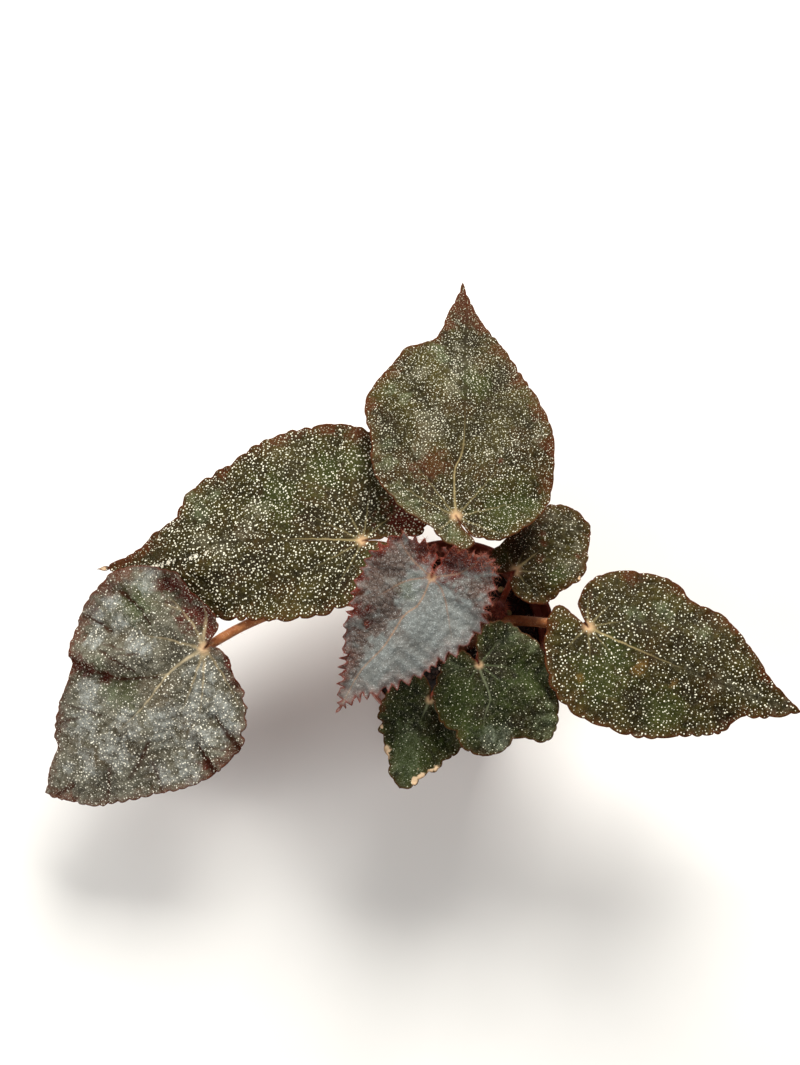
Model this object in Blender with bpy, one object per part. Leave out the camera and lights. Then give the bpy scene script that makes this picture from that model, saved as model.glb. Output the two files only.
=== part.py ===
"""A potted begonia: eight leaves on a creeping stem, in a 9 cm nursery pot.

The lists below are in millimetres and degrees, and MM turns them into Blender's metres.
The origin is the middle of the pot's underside, +Z is up and the front is towards -Y.
"""
import math
import random
from typing import NamedTuple

import bmesh
import bpy
import numpy as np
from mathutils import Euler, Vector
from mathutils.geometry import delaunay_2d_cdt, interpolate_bezier

MM = 0.001
GAP = 0.35

# Pot and soil
POT_SIDES = 40
POT_WALL = [
    (0, 0), (17, 0), (18.6, 1.6), (25.4, 1.6), (27, 0), (30.2, 0), (31, 0.8), (40.4, 69.6), (43.2, 70),
    (43.9, 70.7), (44.5, 78.4), (45, 78.8), (45, 79.6), (44.6, 80), (43.6, 80), (43.2, 79.5), (42.6, 71.5),
    (42.2, 71.2), (39.5, 70.9), (39.2, 70.4), (29.9, 1.9), (29.6, 1.2), (27.5, 1.2), (25.9, 2.8),
    (18.1, 2.8), (16.5, 1.2), (0, 1.2),
]
INNER_WALL_FOOT = (29.9, 1.9)
INNER_WALL_TOP = (39.2, 70.4)
DRAIN_HOLES = 8
DRAIN_RING = 22
DRAIN_RADIUS = 2.5
SOIL_LEVEL = 69
SOIL_FLOOR = 3.2
SOIL_RINGS = [6, 12, 18, 23, 28, 32, 35.5]
SOIL_LUMP = 1.1
PRILL_RADIUS = 1.4
PRILLS = {"prill_far": (22.3, 23.5), "prill_near": (25.6, 12.8)}

# Stem
RHIZOME_TAIL = (-15, -9, 70)
RHIZOME_TIP = (21, 9.5, 71)
RHIZOME_RADIUS = 6.2
RHIZOME_SIDES = 4
RHIZOME_RINGS = 14
BUD_CENTRE = (20, 11, 82.6)
BUD_RADIUS = 3.7
BUD_HEIGHT = 5.0
BUD_SCALES = 3

# Blades
BLADE_THICKNESS = 1.0
VEIN_REACH = 7
VEIN_BOW = 0.06
VEIN_STEP = 6
MARGIN_START = 12
MARGIN_END = 5
MARGIN_INSET = 0.8
LOBE_PITCHES = (0.6, 1.5)
LOBE_SIZES = (0.35, 1.2)
SCALLOP = [(0, 0), (0.2, 0.62), (0.5, 1), (0.8, 0.62)]
TOOTH = [(0, 0), (0.35, 0.4), (0.68, 1), (0.86, 0.3)]


class Leaf(NamedTuple):
    """One leaf. Its blade lies in its own frame: x runs from the junction with the petiole to the
    tip, y to the left of that, z up from the upper face."""
    name: str
    base: tuple          # where the petiole joins the blade
    turn: tuple          # heading in plan, droop and roll of the blade's frame
    length: float        # junction to tip
    arch: float          # rise of the midrib over its chord
    cup: float           # drop of the sides at half_width from the midrib
    half_width: float
    wave: tuple          # height, number and phase of the waves round the margin
    quilt: float         # how far the blade swells between its veins
    left: list           # the margin from the junction round the left lobe to the tip
    right: list
    veins: list          # routes of the veins that leave the junction, the midrib first
    branches: list       # parent vein, fraction along it, route of the branch
    folds: list          # line of a fold, its depth and its width
    edge: tuple          # profile and pitch of the margin's lobes or teeth, their left and right depths
    spacing: float       # size of the blade's triangles
    root: tuple          # where the petiole leaves the rhizome
    leave: tuple         # first stretch of the petiole, as a vector
    arrive: tuple        # last stretch of the petiole, as a vector
    petiole: float       # petiole radius
    colour: tuple


OLIVE = (0.05, 0.045, 0.025)
GREEN = (0.03, 0.05, 0.02)
SILVER = (0.2, 0.2, 0.2)
GREY_GREEN = (0.1, 0.1, 0.09)

LEAVES = [
    Leaf("back", (-1, 35, 130), (87, 10, 3), 131, 7, 7, 42, (2, 7, 0.5), 1.4,
         [(-5, -2.5), (-9.5, -6.7), (-13, -8), (-16, -3), (-12, 5), (-6, 10), (-3, 15), (2, 22), (8, 27),
          (15, 33), (24, 36.5), (35, 37), (46, 40), (57, 41), (66, 37), (76, 30), (83, 25), (86, 15),
          (93, 10), (105, 7), (118, 3)],
         [(-5, -3), (-9, -7.2), (-9.3, -13), (-8.5, -19), (-3, -28), (5, -35), (15, -40), (30, -41.5),
          (45, -40.5), (59, -36), (70, -30), (82, -24), (92, -17), (104, -9), (118, -3.5)],
         [(11, 1.1, 21, 1.2, 35, -2, 84, -1.4, 107, -2.2, 124, -1), (54, 36), (18, 31), (-6, 6), (54, -34),
          (16, -36), (-5, -17)],
         [(0, 0.24, 76, 26), (0, 0.3, 80, -21), (0, 0.55, 92, 9), (0, 0.6, 102, -8), (1, 0.45, 36, 34),
          (4, 0.45, 34, -38)],
         [], (SCALLOP, 8, 0.6, 0.7), 7,
         (5, 11, 78), (-1, 3, 26), (-6, 8, 26), 1.9, OLIVE),
    Leaf("left", (-39.5, 30.6, 114), (-179, 15, -2), 123, 7, 6, 50, (2, 8, 1.0), 1.6,
         [(-9, 1.3), (-18, 3.3), (-22.5, 9), (-16, 19), (-5, 25), (8, 28), (18, 31.5), (32, 33.5), (45, 31.5),
          (60, 29.5), (76, 25.5), (91, 17), (104, 8), (113, 3)],
         [(-9, 0.5), (-19, 1.5), (-26, 0), (-28.5, -6), (-27, -16), (-23, -28), (-15, -42), (-5, -51),
          (4, -56), (17, -59), (33, -58), (43, -52.5), (52, -47.5), (60, -41), (72, -36.5), (81, -29),
          (86, -19.5), (94, -13.5), (102, -6.5), (112, -2.5)],
         [(117, 0), (62, 26), (18, 28), (70, -33), (30, -54), (-3, -48), (-22, -18)],
         [(0, 0.25, 84, 19), (0, 0.3, 88, -18), (0, 0.55, 102, 7), (0, 0.6, 104, -7), (3, 0.4, 52, -44),
          (4, 0.5, 12, -54)],
         [], (SCALLOP, 8.5, 1.5, 1.3), 7.5,
         (-4, 5, 77), (-7, 5, 20), (-17, 9, 18), 1.9, OLIVE),
    Leaf("low_left", (-105, -12.6, 102), (-147, 32, -15), 108.5, 8, 4, 50, (2.5, 9, 0.3), 1.8,
         [(-4, 1.5), (-6, 6), (-6, 10), (-3, 15), (-2, 21), (-1.5, 25), (1.5, 27.5), (1.5, 31),
          (5.5, 32.5), (6, 36), (11.5, 37), (13, 40.5), (27, 43), (36, 42), (46, 39), (56, 35),
          (66, 31), (77, 25), (87, 20), (96, 11), (104, 6)],
         [(-5, -1), (-11, -2.5), (-12, -8), (-11, -16), (-11, -24), (-12, -31), (-6, -38), (2, -46),
          (10, -50), (17, -49.5), (28, -48.5), (38, -45), (45, -40), (50, -34.5), (56, -28.5), (66, -24.5),
          (76, -20), (84, -15), (89, -9.5), (98, -6)],
         [(8.8, -1.6, 18.8, -1.8, 38, 2, 60, 2, 104, 0.8), (62, 29), (40, 37), (5, 30),
          (6.6, -8.4, 11.9, -15.5, 30, -32.5, 42, -40), (-1.9, -9.1, -1.7, -16.1, 0, -37), (-9, -14)],
         [(0, 0.18, 27, -6.9, 38.5, -12.7, 44.3, -20.7, 52, -27), (0, 0.42, 84, 16), (0, 0.5, 84, -12),
          (5, 0.55, 18, -46)],
         [((14, -42), (12, -24), 2, 3.5), ((52, -33), (42, -20), 3, 3.5), ((18, 42), (16, 25), 2.5, 3.5),
          ((32, 45), (29, 29), 2.5, 3.5),
          ((-8, -8), (-6, -30), 5, 4)],
         (SCALLOP, 6, 0.9, 0.5), 7,
         (-9, 1, 76), (-20, 14, 14), (-40, -28, -1), 2.1, GREY_GREEN),
    Leaf("centre", (-11.4, 5.3, 140), (-129, 27, -3), 67, 4, 4, 28, (2, 8, 0.2), 1.2,
         [(-6, -1.5), (-12, -3), (-15, 0.5), (-17, 7), (-20, 13), (-18, 19), (-12, 22), (-5, 25), (3, 28),
          (10, 27), (18, 26), (26, 22), (33, 20), (41, 16), (48, 11), (57, 5)],
         [(-6, -3), (-10, -5.6), (-10, -10.5), (-8.5, -16), (-5, -22), (2, -25), (10, -26), (20, -24),
          (28, -20), (36, -17), (44, -13), (52, -9), (60, -4)],
         [(11, 2.2, 18.4, 0.3, 32, 0.9, 47, -1.2, 64, 0.3), (7.5, -7.5, 17.7, -12.5, 29, -20),
          (-0.6, -9.6, -3.7, -19.3), (2.9, 7.9, 14.7, 20.8), (-4.5, 5.1, -7.1, 7.5, -13.8, 10.5)],
         [(0, 0.29, 27, -6.6, 39.5, -14.6), (0, 0.33, 42, 13), (0, 0.56, 48, -9), (0, 0.62, 54, 5)],
         [((-7, -7), (-10, 8), 6, 4)],
         (TOOTH, 4.4, 3.1, 3.1), 4.5,
         (11, 8, 79), (-1, 0, 24), (-9, -1, 24), 1.5, SILVER),
    Leaf("front", (8.7, -20.3, 104), (-89, 6, 0), 37, 2, 3, 25, (2, 7, 0.8), 1.2,
         [(-4, -0.5), (-9, -1), (-14, 0.5), (-18, 5), (-18, 14), (-14, 19), (-9, 25), (-2, 29), (6, 32),
          (15, 32), (25, 31), (31, 27.5), (31.5, 23), (30, 18), (30.5, 13), (34, 10), (36.5, 5)],
         [(-3, -2.5), (-6, -6), (-5, -11), (-1, -15), (5, -17.5), (12, -19.5), (18, -18.5), (24, -16),
          (27, -11), (31, -9.5), (35, -6)],
         [(3, 0.5, 13.5, 3.8, 21, 1.4, 34, -1), (26, 26), (4, 26), (-14, 12), (22, -12), (4, -14)],
         [(0, 0.4, 29, 12)], [], (SCALLOP, 5, 0.7, 1.2), 5,
         (13, 0, 76), (1, -4, 12), (-1, -8, 12), 1.6, GREEN),
    Leaf("front_low", (-11.3, -32.6, 94), (-110, 12, 0), 38, 2, 2, 20, (1.5, 6, 0.2), 1.0,
         [(-6, 1.5), (-12, 6), (-12, 13), (-7, 19), (0, 22), (8, 21), (14, 19), (19, 16.5), (21, 14),
          (26, 12.5), (28.5, 9), (32, 7), (36, 5)],
         [(-6, -2), (-9, -8), (-5, -15), (2, -18), (9, -19), (14, -18), (15.5, -16), (19, -16), (21, -13),
          (25, -11.5), (29, -8), (34, -6)],
         [(34, 0), (17, 14), (-4, 15), (16, -12), (-1, -13)],
         [], [], (SCALLOP, 5, 0.9, 0.8), 5,
         (3, -8, 74), (-1, -5, 9), (-4, -8, 8), 1.4, GREEN),
    Leaf("right", (53.2, -6.5, 112), (-21.4, 6, 3), 92, 6, 6, 35, (1.5, 6, 0.9), 1.4,
         [(-4, 3.5), (-7, 8), (-7, 14), (-5, 20), (-1, 24.5), (6, 29), (15, 31), (25, 32), (31, 30.5),
          (36, 27), (42, 26.5), (49, 26), (57, 21.5), (65, 15.5), (74, 8), (82, 4)],
         [(-5, 1.5), (-9, 3.5), (-14, 4), (-16.5, 1), (-16.5, -5), (-14.5, -13), (-12, -19), (-8, -26),
          (-4, -30), (2, -33), (9, -35.5), (18, -36), (28, -36), (38, -33.5), (48, -28.5), (57, -24.5),
          (64, -20), (68, -12.5), (75, -10), (84, -5.5)],
         [(88, -1), (46, 22), (14, 27), (-4, 14), (50, -24), (16, -32), (-8, -18)],
         [(0, 0.26, 62, 14), (0, 0.34, 64, -14), (0, 0.6, 76, 4), (4, 0.45, 32, -31)],
         [], (SCALLOP, 7, 0.5, 1.2), 6,
         (24, 7.5, 75.5), (9, -2, 8), (7, -5, 13), 2.1, OLIVE),
    Leaf("small", (25.7, 22.2, 100), (33, 8, -3), 42, 3, 3, 19, (1.2, 6, 0.1), 1.0,
         [(-3, 1), (-6.5, 2), (-8, 6), (-6, 10), (-3, 13.5), (3, 14), (10, 15.5), (18, 17), (25, 18.5),
          (31, 19), (36, 17), (40, 12), (42, 6)],
         [(-3, -2), (-6, -4), (-6.5, -9), (-5, -13.5), (-1, -17), (5, -19), (12, -18.5), (20, -19),
          (25, -17), (31, -12), (35, -7.5), (39, -4)],
         [(38, 1), (27, 14), (3, 11), (22, -14), (2, -14)],
         [(0, 0.45, 34, 9)], [], (SCALLOP, 6, 0.7, 0.9), 5,
         (22, 16.5, 76), (1, 1, 7), (1.5, 3, 8), 1.3, OLIVE),
]


def material(name, colour, roughness):
    """A plain Principled finish."""
    made = bpy.data.materials.new(name)
    made.use_nodes = True
    shader = made.node_tree.nodes["Principled BSDF"]
    shader.inputs["Base Color"].default_value = (*colour, 1)
    shader.inputs["Roughness"].default_value = roughness
    shader.inputs["Metallic"].default_value = 0
    return made


def add_object(name, bm, finish, smooth_angle=math.radians(40)):
    """Turns a bmesh into an object of the scene, with smooth shading and its finish."""
    mesh = bpy.data.meshes.new(name)
    bm.to_mesh(mesh)
    bm.free()
    mesh.shade_smooth()
    mesh.set_sharp_from_angle(angle=smooth_angle)
    mesh.materials.append(finish)
    made = bpy.data.objects.new(name, mesh)
    bpy.context.scene.collection.objects.link(made)
    return made


def make_cutter(made):
    """Hides an object that only cuts another."""
    made.hide_render = True
    made.display_type = "WIRE"
    made.hide_set(True)


def cut(target, cutter):
    """Takes the cutter's shape out of the target."""
    make_cutter(cutter)
    boolean = target.modifiers.new("cut", "BOOLEAN")
    boolean.operation = "DIFFERENCE"
    boolean.solver = "EXACT"
    boolean.object = cutter


def scaled(point):
    return Vector(point) * MM


def turned_wall(profile, sides):
    """Turns a closed profile of (radius, height) points about the Z axis."""
    bm = bmesh.new()
    verts = [bm.verts.new(scaled((radius, 0, height))) for radius, height in profile]
    edges = [bm.edges.new(pair) for pair in zip(verts, verts[1:])]
    bmesh.ops.spin(bm, geom=verts + edges, cent=(0, 0, 0), axis=(0, 0, 1), angle=math.tau, steps=sides,
                   use_merge=True)
    bmesh.ops.remove_doubles(bm, verts=bm.verts[:], dist=0.01 * MM)
    bmesh.ops.recalc_face_normals(bm, faces=bm.faces[:])
    return bm


def tube(points, radii, resolution):
    """A round tube with flat ends through the given points, as a mesh."""
    curve = bpy.data.curves.new("route", "CURVE")
    curve.dimensions = "3D"
    curve.bevel_depth = MM
    curve.bevel_resolution = resolution
    curve.use_fill_caps = True
    spline = curve.splines.new("POLY")
    spline.points.add(len(points) - 1)
    for spot, point, radius in zip(spline.points, points, radii):
        spot.co = (*scaled(point), 1)
        spot.radius = radius
    holder = bpy.data.objects.new("route", curve)
    bpy.context.scene.collection.objects.link(holder)
    bpy.context.view_layer.update()
    mesh = bpy.data.meshes.new_from_object(holder.evaluated_get(bpy.context.evaluated_depsgraph_get()))
    bm = bmesh.new()
    bm.from_mesh(mesh)
    bpy.data.objects.remove(holder)
    bpy.data.curves.remove(curve)
    bpy.data.meshes.remove(mesh)
    bmesh.ops.remove_doubles(bm, verts=bm.verts[:], dist=0.01 * MM)
    bmesh.ops.recalc_face_normals(bm, faces=bm.faces[:])
    return bm


def make_pot(finish):
    """The thin plastic pot, with drain holes in the raised channel of its floor."""
    pot = add_object("pot", turned_wall(POT_WALL, POT_SIDES), finish)
    bm = bmesh.new()
    for number in range(DRAIN_HOLES):
        drill = bmesh.ops.create_cone(bm, segments=12, radius1=DRAIN_RADIUS * MM, radius2=DRAIN_RADIUS * MM,
                                      depth=8 * MM, cap_ends=True)
        angle = math.tau * number / DRAIN_HOLES
        place = scaled((DRAIN_RING * math.cos(angle), DRAIN_RING * math.sin(angle), 2))
        bmesh.ops.translate(bm, vec=place, verts=drill["verts"])
    cut(pot, add_object("drain_drills", bm, finish))
    return pot


def inner_radius(height):
    """Radius of the pot's inside at a height."""
    (low_radius, low), (high_radius, high) = INNER_WALL_FOOT, INNER_WALL_TOP
    return low_radius + (high_radius - low_radius) * (height - low) / (high - low)


def soil_height(x, y):
    """Height of the lumpy top of the soil."""
    lumps = math.sin(0.31 * x + 0.7) * math.cos(0.27 * y - 0.4) + 0.6 * math.sin(0.63 * x - 0.52 * y)
    return SOIL_LEVEL + SOIL_LUMP * lumps / 1.6


def make_soil(finish):
    """The soil fills the pot up to the step of its collar, with a plain hollow for the rhizome."""
    edge = inner_radius(SOIL_LEVEL) - GAP
    profile = [(0, SOIL_FLOOR), (inner_radius(SOIL_FLOOR) - GAP, SOIL_FLOOR), (edge, SOIL_LEVEL)]
    profile += [(radius, SOIL_LEVEL) for radius in reversed(SOIL_RINGS)] + [(0, SOIL_LEVEL)]
    bm = turned_wall(profile, POT_SIDES)
    for vert in bm.verts:
        x, y, z = vert.co / MM
        if z > SOIL_LEVEL - 1 and math.hypot(x, y) < edge - 1:
            vert.co.z = soil_height(x, y) * MM
    bmesh.ops.triangulate(bm, faces=bm.faces[:])
    soil = add_object("soil", bm, finish)
    cut(soil, add_object("rhizome_hollow", rhizome_mesh(GAP), finish))
    return soil


def rhizome_mesh(extra):
    """The creeping stem, with a ring at each old leaf scar and rounded ends."""
    points = []
    radii = []
    for number in range(RHIZOME_RINGS + 1):
        share = number / RHIZOME_RINGS
        points.append(Vector(RHIZOME_TAIL).lerp(Vector(RHIZOME_TIP), share))
        end = math.sqrt(1 - (2 * share - 1) ** 6)
        ring = 0.35 * (number % 2)
        radii.append(max(2.5, (RHIZOME_RADIUS + ring) * end) + extra)
    along = (points[-1] - points[0]).normalized()
    points[0] = points[0] - along * extra
    points[-1] = points[-1] + along * extra
    return tube(points, radii, RHIZOME_SIDES)


def make_bud(finish):
    """The bud at the stem's tip: a pointed oval of overlapping scales."""
    bm = bmesh.new()
    bmesh.ops.create_uvsphere(bm, u_segments=18, v_segments=11, radius=1)
    for vert in bm.verts:
        x, y, z = vert.co
        angle = math.atan2(y, x)
        scale = 1 + 0.12 * math.cos(BUD_SCALES * angle + 2.4 * z)
        narrow = 1 - 0.45 * max(0, z) ** 2
        vert.co.x = BUD_RADIUS * x * scale * narrow
        vert.co.y = BUD_RADIUS * y * scale * narrow
        vert.co.z = BUD_HEIGHT * z - 0.8 * max(0, -z) * z
        vert.co = (vert.co + Vector(BUD_CENTRE)) * MM
    return add_object("crown_bud", bm, finish)


def make_prill(name, place, finish):
    """A fertiliser prill that lies on the soil."""
    x, y = place
    bm = bmesh.new()
    bmesh.ops.create_icosphere(bm, subdivisions=2, radius=PRILL_RADIUS * MM)
    height = soil_height(x, y) + PRILL_RADIUS + GAP
    bmesh.ops.translate(bm, vec=scaled((x, y, height)), verts=bm.verts[:])
    return add_object(name, bm, finish)


def smooth_path(points, step):
    """Points a step apart on a smooth curve through the given ones."""
    knots = [Vector(point) for point in points]
    knots = [2 * knots[0] - knots[1]] + knots + [2 * knots[-1] - knots[-2]]
    path = [knots[1]]
    for before, start, end, after in zip(knots, knots[1:], knots[2:], knots[3:]):
        pieces = max(1, round((end - start).length / step))
        handle_out = start + (end - before) / 6
        handle_in = end - (after - start) / 6
        corners = [corner.to_3d() for corner in (start, handle_out, handle_in, end)]
        dense = interpolate_bezier(*corners, pieces + 1)
        path += [spot.to_2d() for spot in dense[1:]]
    return path


def margin(points, leaf, outward, rng):
    """One side of a blade, from the junction to the tip, with the lobes or teeth of its edge."""
    profile, pitch, left_depth, right_depth = leaf.edge
    depth = left_depth if outward > 0 else right_depth
    path = smooth_path([(0, 0), *points, (leaf.length, 0)], 0.7)
    reach = [0]
    for here, there in zip(path, path[1:]):
        reach.append(reach[-1] + (there - here).length)
    total = reach[-1]
    count = round(total / pitch)
    marks = np.cumsum([0] + [rng.uniform(*LOBE_PITCHES) for _ in range(count)])
    marks = marks / marks[-1] * total
    found = []
    for start, end in zip(marks, marks[1:]):
        size = depth * rng.uniform(*LOBE_SIZES)
        for phase, rise in profile:
            spot = start + phase * (end - start)
            taper = min(1, spot / MARGIN_START, (total - spot) / MARGIN_END)
            index = min(int(np.searchsorted(reach, spot)), len(path) - 2)
            index = max(index, 1)
            along = (path[index + 1] - path[index - 1]).normalized()
            share = (spot - reach[index - 1]) / (reach[index] - reach[index - 1])
            place = path[index - 1].lerp(path[index], share)
            found.append(place + outward * Vector((-along.y, along.x)) * size * (rise - MARGIN_INSET) * taper)
    return found[1:]


def outline_of(leaf):
    """The whole margin of a blade, anticlockwise from its junction."""
    rng = random.Random(leaf.name)
    left = margin(leaf.left, leaf, 1, rng)
    right = margin(leaf.right, leaf, -1, rng)
    return [Vector((0, 0))] + right + [Vector((leaf.length, 0))] + left[::-1]


def vein(start, route, step):
    """A smooth vein along its route of x, y pairs, or bowed away from the midrib if it has only one."""
    ends = [Vector(pair) for pair in zip(route[::2], route[1::2])]
    if len(ends) > 1:
        return smooth_path([start, *ends], step)
    end = ends[0]
    span = end - start
    side = 1 if end.y > start.y else -1
    middle = start + span / 2 + Vector((-abs(span.y), abs(span.x) * side)) * VEIN_BOW
    pieces = max(2, round(span.length / step))
    shares = [number / pieces for number in range(pieces + 1)]
    return [start * (1 - t) ** 2 + middle * 2 * t * (1 - t) + end * t ** 2 for t in shares]


def veins_of(leaf, step):
    """The main veins of a blade and their branches, as lists of points."""
    found = [vein(Vector((0, 0)), route, step) for route in leaf.veins]
    for parent, fraction, *route in leaf.branches:
        stem = found[parent]
        found.append(vein(stem[round(fraction * (len(stem) - 1))], route, step))
    return found


def distance_to(points, lines):
    """How far each point is from the nearest of the lines."""
    best = np.full(len(points), 1e9)
    for line in lines:
        for start, end in zip(line, line[1:]):
            start = np.array(start)
            along = np.array(end) - start
            share = np.clip((points - start) @ along / (along @ along), 0, 1)
            best = np.minimum(best, np.linalg.norm(points - start - share[:, None] * along, axis=1))
    return best


def is_inside(points, outline):
    """Which points lie inside a closed outline."""
    x, y = points.T
    inside = np.zeros(len(points), bool)
    for (x0, y0), (x1, y1) in zip(outline, outline[1:] + outline[:1]):
        if y0 != y1:
            inside ^= ((y0 > y) != (y1 > y)) & (x < (x1 - x0) * (y - y0) / (y1 - y0) + x0)
    return inside


def blade_heights(leaf, points, lines):
    """Height of the blade's upper face over its own plane."""
    x, y = points.T
    share = x / leaf.length
    arch = leaf.arch * np.where(share > 0, 4 * share * (1 - share), 1.4 * share)
    cup = -leaf.cup * (y / leaf.half_width) ** 2
    size, number, phase = leaf.wave
    reach = np.minimum(1, np.hypot(x, y) / leaf.half_width)
    wave = size * reach ** 2 * np.sin(number * np.arctan2(y, x) + phase)
    quilt = leaf.quilt * (1 - np.exp(-(distance_to(points, lines) / VEIN_REACH) ** 2))
    height = arch + cup + wave + quilt
    for start, end, depth, width in leaf.folds:
        height -= depth * np.exp(-(distance_to(points, [[start, end]]) / width) ** 2)
    return height


def inner_points(leaf, outline, lines):
    """A triangular lattice inside a blade, clear of its margin and veins."""
    corners = np.array(outline)
    low = corners.min(axis=0)
    high = corners.max(axis=0)
    row_step = leaf.spacing * math.sqrt(3) / 2
    lattice = []
    for row in range(int((high[1] - low[1]) / row_step) + 1):
        shift = leaf.spacing / 2 * (row % 2)
        for column in range(int((high[0] - low[0]) / leaf.spacing) + 1):
            lattice.append((low[0] + shift + column * leaf.spacing, low[1] + row * row_step))
    lattice = np.array(lattice)
    clear = distance_to(lattice, [outline + outline[:1]] + lines) > 0.5 * leaf.spacing
    return [Vector(point) for point in lattice[is_inside(lattice, outline) & clear]]


def make_blade(leaf, finish):
    """A blade with a cut margin, creased along its veins and split alike on both faces."""
    outline = outline_of(leaf)
    lines = veins_of(leaf, VEIN_STEP)
    points = list(outline)
    edges = []
    for line in lines:
        first = len(points)
        points += line
        edges += [(number, number + 1) for number in range(first, len(points) - 1)]
    points += inner_points(leaf, outline, lines)
    flat, _, faces, *_ = delaunay_2d_cdt(points, edges, [list(range(len(outline)))], 1, 0.05)
    heights = blade_heights(leaf, np.array(flat), lines)
    bm = bmesh.new()
    top = [bm.verts.new(scaled((x, y, height))) for (x, y), height in zip(flat, heights)]
    for face in faces:
        bm.faces.new([top[number] for number in face])
    bmesh.ops.delete(bm, geom=[vert for vert in bm.verts if not vert.link_faces], context="VERTS")
    grown = bmesh.ops.extrude_face_region(bm, geom=bm.faces[:], use_keep_orig=True)
    lower = [part for part in grown["geom"] if isinstance(part, bmesh.types.BMVert)]
    bmesh.ops.translate(bm, vec=(0, 0, -BLADE_THICKNESS * MM), verts=lower)
    bmesh.ops.recalc_face_normals(bm, faces=bm.faces[:])
    bmesh.ops.triangulate(bm, faces=bm.faces[:])
    blade = add_object("blade_" + leaf.name, bm, finish)
    heading, droop, roll = leaf.turn
    blade.location = scaled(leaf.base)
    blade.rotation_euler = Euler((math.radians(roll), math.radians(droop), math.radians(heading)))
    return blade


def petiole_end(leaf):
    """The end of a petiole, just clear of the underside of its blade."""
    heading, droop, roll = leaf.turn
    turned = Euler((math.radians(roll), math.radians(droop), math.radians(heading))).to_matrix()
    normal = turned @ Vector((0, 0, 1))
    lean = math.sin(normal.angle(Vector(leaf.arrive)))
    return Vector(leaf.base) - normal * (BLADE_THICKNESS + GAP + leaf.petiole * lean)


def make_petiole(leaf, finish):
    """A petiole: a round stalk that thins a little from the rhizome to the blade."""
    start = Vector(leaf.root)
    end = petiole_end(leaf)
    count = max(7, round((end - start).length / 7))
    path = interpolate_bezier(start, start + Vector(leaf.leave), end - Vector(leaf.arrive), end, count)
    radii = [leaf.petiole * (1.15 - 0.2 * number / (count - 1)) for number in range(count)]
    return add_object("petiole_" + leaf.name, tube(path, radii, 2), finish)


def build():
    for old in list(bpy.data.objects):
        bpy.data.objects.remove(old)
    make_pot(material("pot plastic", (0.16, 0.045, 0.02), 0.45))
    make_soil(material("peat", (0.012, 0.008, 0.006), 0.95))
    brown = material("rhizome skin", (0.12, 0.05, 0.025), 0.7)
    add_object("rhizome", rhizome_mesh(0), brown)
    make_bud(material("bud scales", (0.25, 0.035, 0.02), 0.7))
    prill = material("prill", (0.35, 0.34, 0.12), 0.4)
    for name, place in PRILLS.items():
        make_prill(name, place, prill)
    stalk = material("petiole skin", (0.32, 0.12, 0.05), 0.5)
    for leaf in LEAVES:
        make_blade(leaf, material("blade " + leaf.name, leaf.colour, 0.5))
        make_petiole(leaf, stalk)


build()
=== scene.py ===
"""A potted begonia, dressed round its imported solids: eight leaves on a creeping stem in a nursery pot.

Lists and sizes are in millimetres and degrees, and MM turns them into metres. The origin is the
middle of the pot's underside, +Z is up and the front is towards -Y.
"""
import math
import random
from typing import NamedTuple

import bmesh
import bpy
import numpy as np
from mathutils import Euler, Matrix, Vector, kdtree, noise
from mathutils.geometry import delaunay_2d_cdt, interpolate_bezier


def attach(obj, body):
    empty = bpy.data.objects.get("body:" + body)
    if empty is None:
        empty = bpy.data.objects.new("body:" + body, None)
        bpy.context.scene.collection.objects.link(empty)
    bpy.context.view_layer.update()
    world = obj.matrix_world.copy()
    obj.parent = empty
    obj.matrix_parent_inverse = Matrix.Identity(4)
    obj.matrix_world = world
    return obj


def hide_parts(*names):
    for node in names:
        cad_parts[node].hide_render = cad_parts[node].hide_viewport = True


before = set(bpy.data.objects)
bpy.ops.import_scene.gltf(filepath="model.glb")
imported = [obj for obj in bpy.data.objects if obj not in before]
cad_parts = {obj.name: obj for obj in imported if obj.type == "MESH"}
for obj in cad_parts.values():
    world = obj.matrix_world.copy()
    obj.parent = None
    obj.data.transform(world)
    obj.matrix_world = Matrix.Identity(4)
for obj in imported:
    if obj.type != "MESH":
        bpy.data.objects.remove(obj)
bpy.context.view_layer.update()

# Pot: thin red-brown plastic in one moulding, turned here from its section. The collar stiffens the
# rim, and eight drain holes sit in the raised channel of the foot.
MM = 0.001
POT_SIDES = 96
POT_WALL = [
    (0, 0), (17, 0), (18.6, 1.6), (25.4, 1.6), (27, 0), (30.2, 0), (31, 0.8), (40.4, 69.6), (43.2, 70),
    (43.9, 70.7), (44.5, 78.4), (45, 78.8), (45, 79.6), (44.6, 80), (43.6, 80), (43.2, 79.5), (42.6, 71.5),
    (42.2, 71.2), (39.5, 70.9), (39.2, 70.4), (29.9, 1.9), (29.6, 1.2), (27.5, 1.2), (25.9, 2.8),
    (18.1, 2.8), (16.5, 1.2), (0, 1.2),
]
POT_ROUNDING = 0.22
DRAIN_HOLES = 8
DRAIN_RING = 22
DRAIN_RADIUS = 2.5


def srgb(red, green, blue):
    """A display colour of 0 to 255 as the linear colour that a shader reads."""
    return (*((value / 255) ** 2.2 for value in (red, green, blue)), 1)


class Value:
    """A socket of a finish. Arithmetic on it adds Math nodes to that finish."""

    def __init__(self, finish, socket):
        self.finish = finish
        self.socket = socket

    def math(self, operation, first, second):
        return self.finish.node("Math", {"operation": operation}, {0: first, 1: second})

    def __add__(self, other):
        return self.math("ADD", self, other)

    def __sub__(self, other):
        return self.math("SUBTRACT", self, other)

    def __rsub__(self, other):
        return self.math("SUBTRACT", other, self)

    def __mul__(self, other):
        return self.math("MULTIPLY", self, other)

    __radd__ = __add__
    __rmul__ = __mul__


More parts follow.
